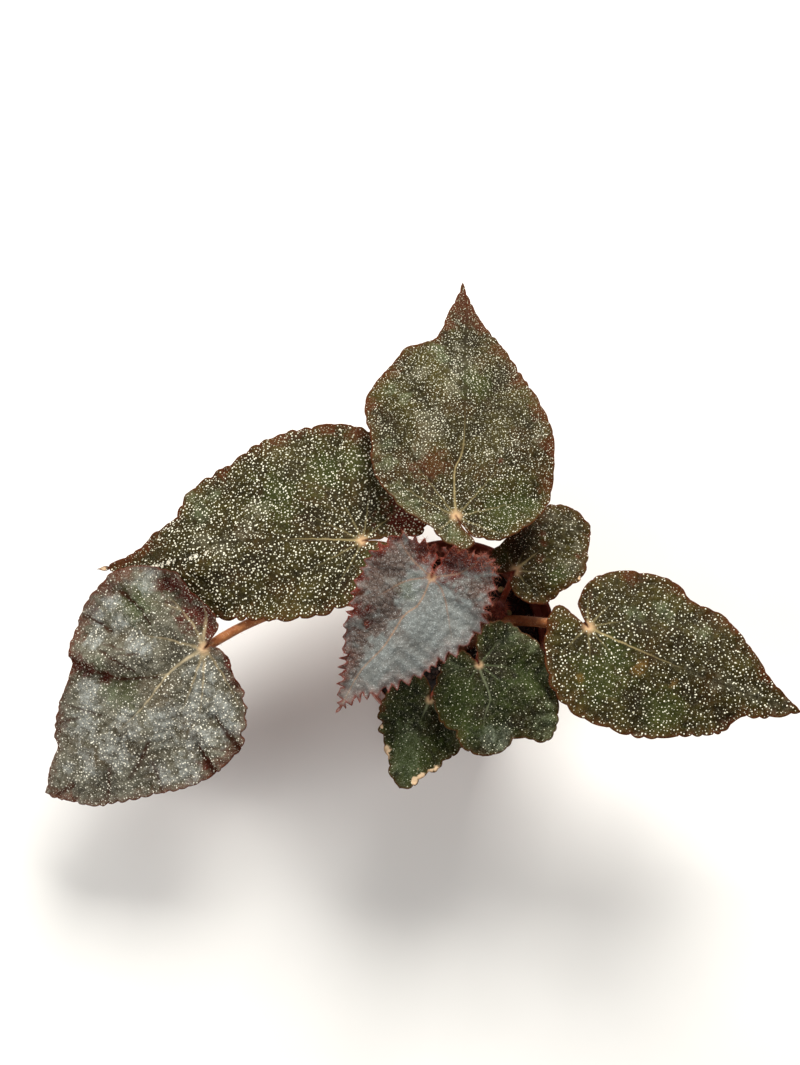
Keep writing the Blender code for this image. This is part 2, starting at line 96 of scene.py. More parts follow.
class Finish:
    """A procedural material round one Principled shader."""

    def __init__(self, name, **fixed):
        self.material = bpy.data.materials.new(name)
        self.material.use_nodes = True
        self.tree = self.material.node_tree
        self.shader = self.tree.nodes["Principled BSDF"]
        for socket, value in fixed.items():
            self.shader.inputs[socket.replace("_", " ")].default_value = value
        self.place = self.node("TexCoord", {}, {}, "Object")

    def node(self, kind, settings, sockets, output=0):
        """A node of a kind, with its settings, its sockets' values or links, and the output that is used."""
        made = self.tree.nodes.new("ShaderNode" + kind)
        for name, value in settings.items():
            setattr(made, name, value)
        for name, value in sockets.items():
            if isinstance(value, Value):
                self.tree.links.new(value.socket, made.inputs[name])
            else:
                made.inputs[name].default_value = value
        return Value(self, made.outputs[output])

    def noise(self, size, detail=2, rough=0.5, place=None):
        """Soft noise whose lumps are about a size in millimetres."""
        sockets = {"Vector": place or self.place, "Scale": 1 / (size * MM), "Detail": detail, "Roughness": rough}
        return self.node("TexNoise", {}, sockets)

    def cells(self, size, feature="F1"):
        """Distance in a Voronoi pattern of a size in millimetres."""
        return self.node("TexVoronoi", {"feature": feature}, {"Vector": self.place, "Scale": 1 / (size * MM)})

    def mask(self, name):
        """A named value that the mesh carries at its points."""
        return self.node("Attribute", {"attribute_name": name}, {}, "Fac")

    def fit(self, value, low, high):
        """The value from low to high as 0 to 1, and no further."""
        return self.node("MapRange", {}, {0: value, 1: low, 2: high})

    def mix(self, share, under, over):
        """One colour over another by a share."""
        return self.node("Mix", {"data_type": "RGBA"}, {0: share, 6: under, 7: over}, 2)

    def bump(self, height, depth, under=None):
        """A normal from a height of 0 to 1 that stands for a depth in millimetres."""
        sockets = {"Height": height, "Distance": depth * MM, "Strength": 1.0}
        if under:
            sockets["Normal"] = under
        return self.node("Bump", {}, sockets)

    def feed(self, **values):
        """Links what varies over the surface to the shader."""
        for socket, value in values.items():
            self.tree.links.new(value.socket, self.shader.inputs[socket.replace("_", " ")])


def turned(profile, sides):
    """A closed section of (radius, height) points spun about the Z axis."""
    bm = bmesh.new()
    verts = [bm.verts.new((radius * MM, 0, height * MM)) for radius, height in profile]
    edges = [bm.edges.new(pair) for pair in zip(verts, verts[1:])]
    bmesh.ops.spin(bm, geom=verts + edges, cent=(0, 0, 0), axis=(0, 0, 1), angle=math.tau, steps=sides,
                   use_merge=True)
    bmesh.ops.remove_doubles(bm, verts=bm.verts[:], dist=0.01 * MM)
    bmesh.ops.recalc_face_normals(bm, faces=bm.faces[:])
    return bm


def add_object(name, mesh, *finishes, smooth=40):
    """Makes a mesh or a bmesh a smooth object of the scene."""
    if isinstance(mesh, bmesh.types.BMesh):
        bm, mesh = mesh, bpy.data.meshes.new(name)
        bm.to_mesh(mesh)
        bm.free()
    mesh.shade_smooth()
    mesh.set_sharp_from_angle(angle=math.radians(smooth))
    for finish in finishes:
        mesh.materials.append(finish.material)
    made = bpy.data.objects.new(name, mesh)
    bpy.context.scene.collection.objects.link(made)
    return made


def pot_finish():
    plastic = Finish("pot plastic")
    clouds = plastic.noise(14, 3)
    dust = plastic.fit(plastic.noise(3.5, 5, 0.7), 0.52, 0.75)
    body = plastic.mix(clouds, srgb(98, 46, 32), srgb(124, 62, 42))
    plastic.feed(Base_Color=plastic.mix(dust * 0.35, body, srgb(150, 120, 95)),
                 Roughness=plastic.fit(clouds + dust * 0.4, -0.6, 2.2),
                 Normal=plastic.bump(plastic.noise(0.8, 3), 0.03))
    return plastic


pot_bm = turned(POT_WALL, POT_SIDES)
sharp = [edge for edge in pot_bm.edges if edge.calc_face_angle(0) > math.radians(30)]
bmesh.ops.bevel(pot_bm, geom=sharp, offset=POT_ROUNDING * MM, segments=2, profile=0.5, affect="EDGES",
                clamp_overlap=True, material=-1)
pot = add_object("pot_shell", pot_bm, pot_finish(), smooth=50)
drill_bm = bmesh.new()
for number in range(DRAIN_HOLES):
    hole = bmesh.ops.create_cone(drill_bm, segments=24, radius1=DRAIN_RADIUS * MM, radius2=DRAIN_RADIUS * MM,
                                 depth=8 * MM, cap_ends=True)
    angle = math.tau * number / DRAIN_HOLES
    ring_place = Vector((DRAIN_RING * math.cos(angle), DRAIN_RING * math.sin(angle), 2)) * MM
    bmesh.ops.translate(drill_bm, vec=ring_place, verts=hole["verts"])
drill = add_object("drain_drill", drill_bm)
boolean = pot.modifiers.new("drain", "BOOLEAN")
boolean.object = drill
bpy.context.view_layer.update()
drilled = bpy.data.meshes.new_from_object(pot.evaluated_get(bpy.context.evaluated_depsgraph_get()))
pot.modifiers.remove(boolean)
pot.data = drilled
bpy.data.objects.remove(drill)
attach(pot, "root")
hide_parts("pot")

# Soil: damp black peat that settled in lumps below the pot's collar, with loose crumbs, a few grains
# of perlite and chips of bark on top.
INNER_WALL = (29.55, 1.9, 38.85, 70.4)
SOIL_LEVEL = 69
SOIL_FLOOR = 3.2
SOIL_LUMP = 1.1
SOIL_STEP = 1.3
CRUMBS = 1500
PERLITE = 14
BARK_CHIPS = 26


def inner_radius(height):
    """Radius of the soil against the pot's wall at a height."""
    low_radius, low, high_radius, high = INNER_WALL
    return low_radius + (high_radius - low_radius) * (height - low) / (high - low)


def soil_height(x, y):
    """Height of the lumpy top of the soil."""
    lumps = math.sin(0.31 * x + 0.7) * math.cos(0.27 * y - 0.4) + 0.6 * math.sin(0.63 * x - 0.52 * y)
    crumbly = noise.fractal(Vector((x, y, 0)) * 0.35, 0.8, 2.1, 4)
    return SOIL_LEVEL + SOIL_LUMP * lumps / 1.6 + 0.7 * crumbly


def frames(directions, twists, widths, lengths):
    """A 3x3 matrix for each copy: its z runs along the direction, after a twist, and it is scaled."""
    z = directions / np.linalg.norm(directions, axis=1)[:, None]
    helper = np.where(np.abs(z[:, 2:]) < 0.9, (0.0, 0.0, 1.0), (1.0, 0.0, 0.0))
    x = np.cross(helper, z)
    x /= np.linalg.norm(x, axis=1)[:, None]
    y = np.cross(z, x)
    cosine, sine = np.cos(twists)[:, None], np.sin(twists)[:, None]
    along = (cosine * x + sine * y) * widths[:, None]
    across = (cosine * y - sine * x) * widths[:, None]
    return np.stack([along, across, z * lengths[:, None]], axis=-1)


def copies(name, shape, turns, places, shades, leans=None):
    """One mesh of many turned copies of a small shape, each with its own shade. A lean bends a copy
    sideways by the square of its height."""
    bmesh.ops.triangulate(shape, faces=shape.faces[:])
    shape.verts.index_update()
    corners = np.array([vert.co for vert in shape.verts])
    faces = np.array([[vert.index for vert in face.verts] for face in shape.faces])
    points = np.einsum("nij,vj->nvi", turns, corners) + places[:, None, :]
    if leans is not None:
        points += leans[:, None, :] * (corners[:, 2] ** 2)[None, :, None]
    starts = np.arange(len(places))[:, None, None] * len(corners)
    mesh = bpy.data.meshes.new(name)
    mesh.from_pydata((points * MM).reshape(-1, 3).tolist(), [], (faces[None] + starts).reshape(-1, 3).tolist())
    mesh.attributes.new("shade", "FLOAT", "POINT").data.foreach_set("value", np.repeat(shades, len(corners)))
    return mesh


def lump(subdivisions, rough, seed):
    """A small uneven pebble shape, about 1 in radius."""
    bm = bmesh.new()
    bmesh.ops.create_icosphere(bm, subdivisions=subdivisions, radius=1)
    for vert in bm.verts:
        vert.co *= 1 + rough * noise.noise(vert.co * 1.4 + Vector((seed, 0, 0)))
    return bm


def strewn(rng, count, reach):
    """Places spread evenly over the soil's disc."""
    angles = rng.uniform(0, math.tau, count)
    spans = reach * np.sqrt(rng.uniform(0, 1, count))
    return [(span * math.cos(angle), span * math.sin(angle)) for angle, span in zip(angles, spans)]


def soil_pieces(name, shape, count, low, high, flat, seed):
    """Lumps of a size between low and high that lie on the soil."""
    rng = np.random.default_rng(seed)
    sizes = low + (high - low) * rng.uniform(0, 1, count) ** 2
    places = np.array([(x, y, soil_height(x, y) + 0.3 * size * flat)
                       for (x, y), size in zip(strewn(rng, count, inner_radius(SOIL_LEVEL) - high), sizes)])
    up = rng.normal(0, 0.35, (count, 3)) + (0, 0, 1)
    turns = frames(up, rng.uniform(0, math.tau, count), sizes, sizes * flat)
    return copies(name, shape, turns, places, rng.uniform(0, 1, count))


def peat_finish():
    peat = Finish("peat")
    lumps = peat.noise(2.2, 5, 0.65)
    peat.feed(Base_Color=peat.mix(peat.fit(lumps, 0.35, 0.75), srgb(13, 9, 7), srgb(44, 30, 22)),
              Roughness=peat.fit(lumps, -1.5, 0.9),
              Normal=peat.bump(peat.noise(0.7, 5, 0.7), 0.35))
    return peat


def shaded_finish(name, low, high, rough, grain_size, depth):
    """A finish between two colours by each copy's shade, with a fine grain."""
    finish = Finish(name)
    grain = finish.noise(grain_size, 4, 0.6)
    tone = finish.mask("shade") * 0.75 + grain * 0.25
    finish.feed(Base_Color=finish.mix(tone, low, high),
                Roughness=finish.fit(grain, -rough * 2, 1 - rough + 1),
                Normal=finish.bump(grain, depth))
    return finish


edge_radius = inner_radius(SOIL_LEVEL)
soil_profile = [(0, SOIL_FLOOR), (inner_radius(SOIL_FLOOR), SOIL_FLOOR), (edge_radius, SOIL_LEVEL)]
soil_profile += [(radius, SOIL_LEVEL) for radius in np.arange(edge_radius - 0.6, 1, -SOIL_STEP)]
soil_bm = turned(soil_profile + [(0, SOIL_LEVEL)], POT_SIDES)
for vert in soil_bm.verts:
    spot = vert.co / MM
    if spot.z > SOIL_LEVEL - 1 and math.hypot(spot.x, spot.y) < edge_radius - 0.3:
        vert.co.z = soil_height(spot.x, spot.y) * MM
soil = add_object("soil_fill", soil_bm, peat_finish(), smooth=180)
crumb_finish = shaded_finish("peat crumb", srgb(10, 7, 6), srgb(58, 38, 27), 0.9, 0.5, 0.15)
crumbs = add_object("soil_crumbs", soil_pieces("soil_crumbs", lump(1, 0.6, 3), CRUMBS, 0.35, 1.5, 0.8, 11),
                    crumb_finish)
perlite_finish = shaded_finish("perlite", srgb(150, 145, 130), srgb(225, 220, 205), 0.8, 0.4, 0.1)
perlite = add_object("soil_perlite", soil_pieces("soil_perlite", lump(2, 0.7, 9), PERLITE, 0.6, 1.3, 0.85, 5),
                     perlite_finish)
bark_bm = bmesh.new()
bmesh.ops.create_cube(bark_bm, size=1.6)
bmesh.ops.bevel(bark_bm, geom=bark_bm.edges[:], offset=0.25, segments=1, profile=0.5, affect="EDGES", material=-1)
bmesh.ops.scale(bark_bm, vec=(1.5, 0.6, 1), verts=bark_bm.verts[:])
bark = add_object("soil_bark", soil_pieces("soil_bark", bark_bm, BARK_CHIPS, 0.8, 2.2, 0.3, 8),
                  shaded_finish("bark chip", srgb(38, 22, 15), srgb(92, 58, 38), 0.85, 0.6, 0.2), smooth=25)
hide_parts("soil")
for made in (soil, crumbs, perlite, bark):
    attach(made, "root")

# Prills: two slow-release fertiliser beads that lie on the soil, with a thin yellow-green resin skin.
prill_finish = Finish("prill resin", Coat_Weight=0.3)
prill_clouds = prill_finish.noise(1.1, 2)
prill_finish.feed(Base_Color=prill_finish.mix(prill_clouds, srgb(128, 128, 72), srgb(186, 182, 122)),
                  Roughness=prill_finish.fit(prill_clouds, -0.6, 2.4),
                  Normal=prill_finish.bump(prill_finish.noise(0.3, 2), 0.03))
for name in ("prill_near", "prill_far"):
    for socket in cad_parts[name].material_slots:
        socket.material = prill_finish.material

# Creeping stem: a knobbly brown rhizome that lies half in the soil, ringed by the scars of old
# leaves, with short hairs round the scars.
RHIZOME_TAIL = (-15, -9, 70)
RHIZOME_TIP = (21, 9.5, 71)
RHIZOME_RADIUS = 6.2
RHIZOME_RINGS = 72
SCAR_RINGS = 7
STEM_HAIRS = 260
STEM_SCALES = 22


def tube(points, radii, resolution):
    """A round tube with closed ends through the given points, in millimetres."""
    curve = bpy.data.curves.new("route", "CURVE")
    curve.dimensions = "3D"
    curve.bevel_depth = MM
    curve.bevel_resolution = resolution
    curve.use_fill_caps = True
    spline = curve.splines.new("POLY")
    spline.points.add(len(points) - 1)
    for spot, point, radius in zip(spline.points, points, radii):
        spot.co = (*(Vector(point) * MM), 1)
        spot.radius = radius
    holder = bpy.data.objects.new("route", curve)
    bpy.context.scene.collection.objects.link(holder)
    bpy.context.view_layer.update()
    mesh = bpy.data.meshes.new_from_object(holder.evaluated_get(bpy.context.evaluated_depsgraph_get()))
    bm = bmesh.new()
    bm.from_mesh(mesh)
    bpy.data.objects.remove(holder)
    bpy.data.curves.remove(curve)
    bpy.data.meshes.remove(mesh)
    bmesh.ops.remove_doubles(bm, verts=bm.verts[:], dist=0.005 * MM)
    bmesh.ops.recalc_face_normals(bm, faces=bm.faces[:])
    return bm


def roughened(bm, size, height):
    """Moves a surface in and out by noise, both in millimetres."""
    bm.normal_update()
    for vert in bm.verts:
        vert.co += vert.normal * noise.fractal(vert.co / (size * MM), 0.9, 2.0, 3) * height * MM
    return bm


def hair(curl):
    """A tapering hair, 1 wide and 1 long, that leans more towards its tip."""
    bm = bmesh.new()
    bmesh.ops.create_cone(bm, segments=4, radius1=1, radius2=0.25, depth=1, cap_ends=True)
    bmesh.ops.translate(bm, vec=(0, 0, 0.5), verts=bm.verts[:])
    long_edges = [edge for edge in bm.edges if abs(edge.verts[0].co.z - edge.verts[1].co.z) > 0.5]
    bmesh.ops.subdivide_edges(bm, edges=long_edges, cuts=curl)
    return bm


def hairs(name, roots, directions, lengths, width, lean, seed, curl=2):
    """Hairs at their roots: each leans off its direction by up to a share of its length."""
    rng = np.random.default_rng(seed)
    count = len(roots)
    turns = frames(directions, rng.uniform(0, math.tau, count), np.full(count, width), lengths)
    leans = rng.normal(0, 1, (count, 3)) * lean * lengths[:, None]
    return copies(name, hair(curl), turns, roots, rng.uniform(0, 1, count), leans)


stem_tail, stem_tip = np.array(RHIZOME_TAIL, float), np.array(RHIZOME_TIP, float)
stem_along = (stem_tip - stem_tail) / np.linalg.norm(stem_tip - stem_tail)
stem_points = []
stem_radii = []
for number in range(RHIZOME_RINGS + 1):
    share = number / RHIZOME_RINGS
    stem_points.append(stem_tail + (stem_tip - stem_tail) * share)
    end = max(0.35, 1 - (2 * share - 1) ** 8) ** 0.5
    scar = 0.35 * math.cos(math.tau * SCAR_RINGS * share) ** 8
    stem_radii.append(RHIZOME_RADIUS * end + scar - 0.1)
stem_bm = roughened(tube(stem_points, stem_radii, 8), 3.5, 0.45)
stem_finish = Finish("rhizome skin")
stem_clouds = stem_finish.noise(2.6, 5, 0.6)
stem_finish.feed(Base_Color=stem_finish.mix(stem_finish.fit(stem_clouds, 0.3, 0.7), srgb(58, 30, 20),
                                            srgb(128, 78, 48)),
                 Roughness=stem_finish.fit(stem_clouds, -1.4, 1.2),
                 Normal=stem_finish.bump(stem_finish.noise(0.6, 4), 0.12))
stem = add_object("rhizome_skin", stem_bm, stem_finish, smooth=180)
stem_rng = np.random.default_rng(21)
stem_shares = stem_rng.uniform(0.05, 0.95, STEM_HAIRS)
stem_angles = stem_rng.uniform(0, math.pi, STEM_HAIRS)
stem_side = np.cross(stem_along, (0, 0, 1))
stem_out = np.cos(stem_angles)[:, None] * stem_side + np.sin(stem_angles)[:, None] * np.array((0, 0, 1.0))
stem_roots = stem_tail + (stem_tip - stem_tail) * stem_shares[:, None] + stem_out * (RHIZOME_RADIUS - 0.6)
red_hair = shaded_finish("red hair", srgb(104, 36, 24), srgb(202, 122, 96), 0.5, 0.5, 0.0)
pale_hair = shaded_finish("pale hair", srgb(150, 110, 85), srgb(240, 225, 205), 0.5, 0.5, 0.0)
stem_hairs = add_object("rhizome_hairs", hairs("rhizome_hairs", stem_roots, stem_out + stem_rng.normal(0, 0.3, (STEM_HAIRS, 3)),
                                               stem_rng.uniform(0.8, 2.0, STEM_HAIRS), 0.07, 0.25, 22), pale_hair)
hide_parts("rhizome")
for made in (stem, stem_hairs):
    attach(made, "root")

# Crown bud: the next leaf still folded in its scales at the stem's tip, dark red under a coat of
# curly hairs with pink ends.
BUD_CENTRE = (20, 11, 82.6)
BUD_SCALES = 6
BUD_HEIGHT = 5.0
BUD_RADIUS = 3.2
BUD_HAIRS = 520


def bud_scale(bm, number):
    """One pointed, hollow scale that wraps a third of the bud."""
    grown = bmesh.ops.create_uvsphere(bm, u_segments=20, v_segments=12, radius=1)["verts"]
    kept = bmesh.ops.bisect_plane(bm, geom=grown + list({face for vert in grown for face in vert.link_faces})
                                  + list({edge for vert in grown for edge in vert.link_edges}),
                                  plane_co=(0, -0.2, 0), plane_no=(0, -1, 0), clear_outer=True)["geom"]
    verts = [item for item in kept if isinstance(item, bmesh.types.BMVert)]
    size = 1 - 0.09 * number
    for vert in verts:
        x, y, z = vert.co
        narrow = 1 - 0.55 * max(0, z) ** 1.5
        vert.co = Vector((BUD_RADIUS * x * narrow * size, BUD_RADIUS * (y * narrow * size + 0.12),
                          BUD_HEIGHT * (z * (1.12 - 0.06 * number) + 0.03 * number)))
    turn = Matrix.Rotation(math.radians(137.5) * number, 3, "Z")
    bmesh.ops.rotate(bm, verts=verts, cent=(0, 0, 0), matrix=turn)


bud_bm = bmesh.new()
for number in range(BUD_SCALES):
    bud_scale(bud_bm, number)
bmesh.ops.recalc_face_normals(bud_bm, faces=bud_bm.faces[:])
bmesh.ops.solidify(bud_bm, geom=bud_bm.faces[:], thickness=0.35)
bmesh.ops.scale(bud_bm, vec=(MM, MM, MM), verts=bud_bm.verts[:])
bmesh.ops.translate(bud_bm, vec=Vector(BUD_CENTRE) * MM, verts=bud_bm.verts[:])
roughened(bud_bm, 1.2, 0.12)
neck = tube([(21, 10.4, 74), (20.3, 10.9, 79), (20, 11, 81)], [3.2, 2.7, 2.4], 4)
neck_mesh = bpy.data.meshes.new("neck")
neck.to_mesh(neck_mesh)
bud_bm.from_mesh(neck_mesh)
bud_finish = Finish("bud scales")
bud_clouds = bud_finish.noise(1.8, 4)
bud_finish.feed(Base_Color=bud_finish.mix(bud_finish.fit(bud_clouds, 0.3, 0.7), srgb(70, 16, 14), srgb(150, 62, 46)),
                Roughness=bud_finish.fit(bud_clouds, -1.2, 1.4),
                Normal=bud_finish.bump(bud_finish.noise(0.5, 3), 0.08))
bud = add_object("bud_scales", bud_bm, bud_finish, smooth=60)
bud_rng = np.random.default_rng(31)
bud_out = bud_rng.normal(0, 1, (BUD_HAIRS, 3)) * (1, 1, 0.8) + (0, 0, 0.25)
bud_out /= np.linalg.norm(bud_out, axis=1)[:, None]
bud_roots = np.array(BUD_CENTRE) + bud_out * (BUD_RADIUS * 0.95, BUD_RADIUS * 0.95, BUD_HEIGHT * 0.85)
bud_hairs = add_object("bud_hairs", hairs("bud_hairs", bud_roots, bud_out + bud_rng.normal(0, 0.35, (BUD_HAIRS, 3)),
                                          bud_rng.uniform(0.9, 2.2, BUD_HAIRS), 0.1, 0.35, 32), red_hair)
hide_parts("crown_bud")
for made in (bud, bud_hairs):
    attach(made, "root")

# Leaf blades: thin fleshy sheets that the petioles hold by the notch at their base. Each is cut along
# its margin, creased along its veins, quilted between them, and matte maroon underneath.
BLADE_THICKNESS = 0.75
VEIN_REACH = 7
VEIN_BOW = 0.06
VEIN_STEP = 1.2
VEIN_FLANK = 0.5
MARGIN_START = 12
MARGIN_END = 5
MARGIN_INSET = 0.8
LOBE_PITCHES = (0.6, 1.5)
LOBE_SIZES = (0.35, 1.2)
GROOVE = 0.32
GROOVE_WIDTH = 0.55
SCALLOP = [(0, 0), (0.08, 0.3), (0.2, 0.62), (0.34, 0.87), (0.5, 1), (0.66, 0.87), (0.8, 0.62), (0.92, 0.3)]
TOOTH = [(0, 0), (0.2, 0.14), (0.35, 0.4), (0.52, 0.78), (0.68, 1), (0.78, 0.68), (0.86, 0.3), (0.94, 0.08)]


class Leaf(NamedTuple):
    """One leaf. Its blade lies in its own frame: x runs from the junction with the petiole to the
    tip, y to the left of that, z up from the upper face."""
    name: str
    skin: str            # finish of the upper face
    base: tuple          # where the petiole joins the blade
    turn: tuple          # heading in plan, droop and roll of the blade's frame
    length: float        # junction to tip
    arch: float          # rise of the midrib over its chord
    cup: float           # drop of the sides at half_width from the midrib
    half_width: float
    wave: tuple          # height, number and phase of the waves round the margin
    quilt: float         # how far the blade swells between its veins
    left: list           # the margin from the junction round the left lobe to the tip
    right: list
    veins: list          # routes of the veins that leave the junction, the midrib first
    branches: list       # parent vein, fraction along it, route of the branch
    folds: list          # line of a fold, its depth and its width
    edge: tuple          # profile and pitch of the margin's lobes or teeth, their left and right depths
    step: float          # size of the fine mesh
    cells: tuple         # size and height of the small puckers
    frill: float         # how far the margin curls up and down
    creases: list        # line of a sharp crease, its depth and its width, with painted shade along it
    shown: tuple         # how far from the junction the midrib and the other veins keep their colour
    dots: tuple          # pitch and greatest radius of the pale dots
    marks: list          # tint, x, y and radius of each patch; some tints are painted light and shade
    root: tuple          # where the petiole leaves the rhizome
    leave: tuple         # first stretch of the petiole, as a vector
    arrive: tuple        # last stretch of the petiole, as a vector
    petiole: float       # petiole radius


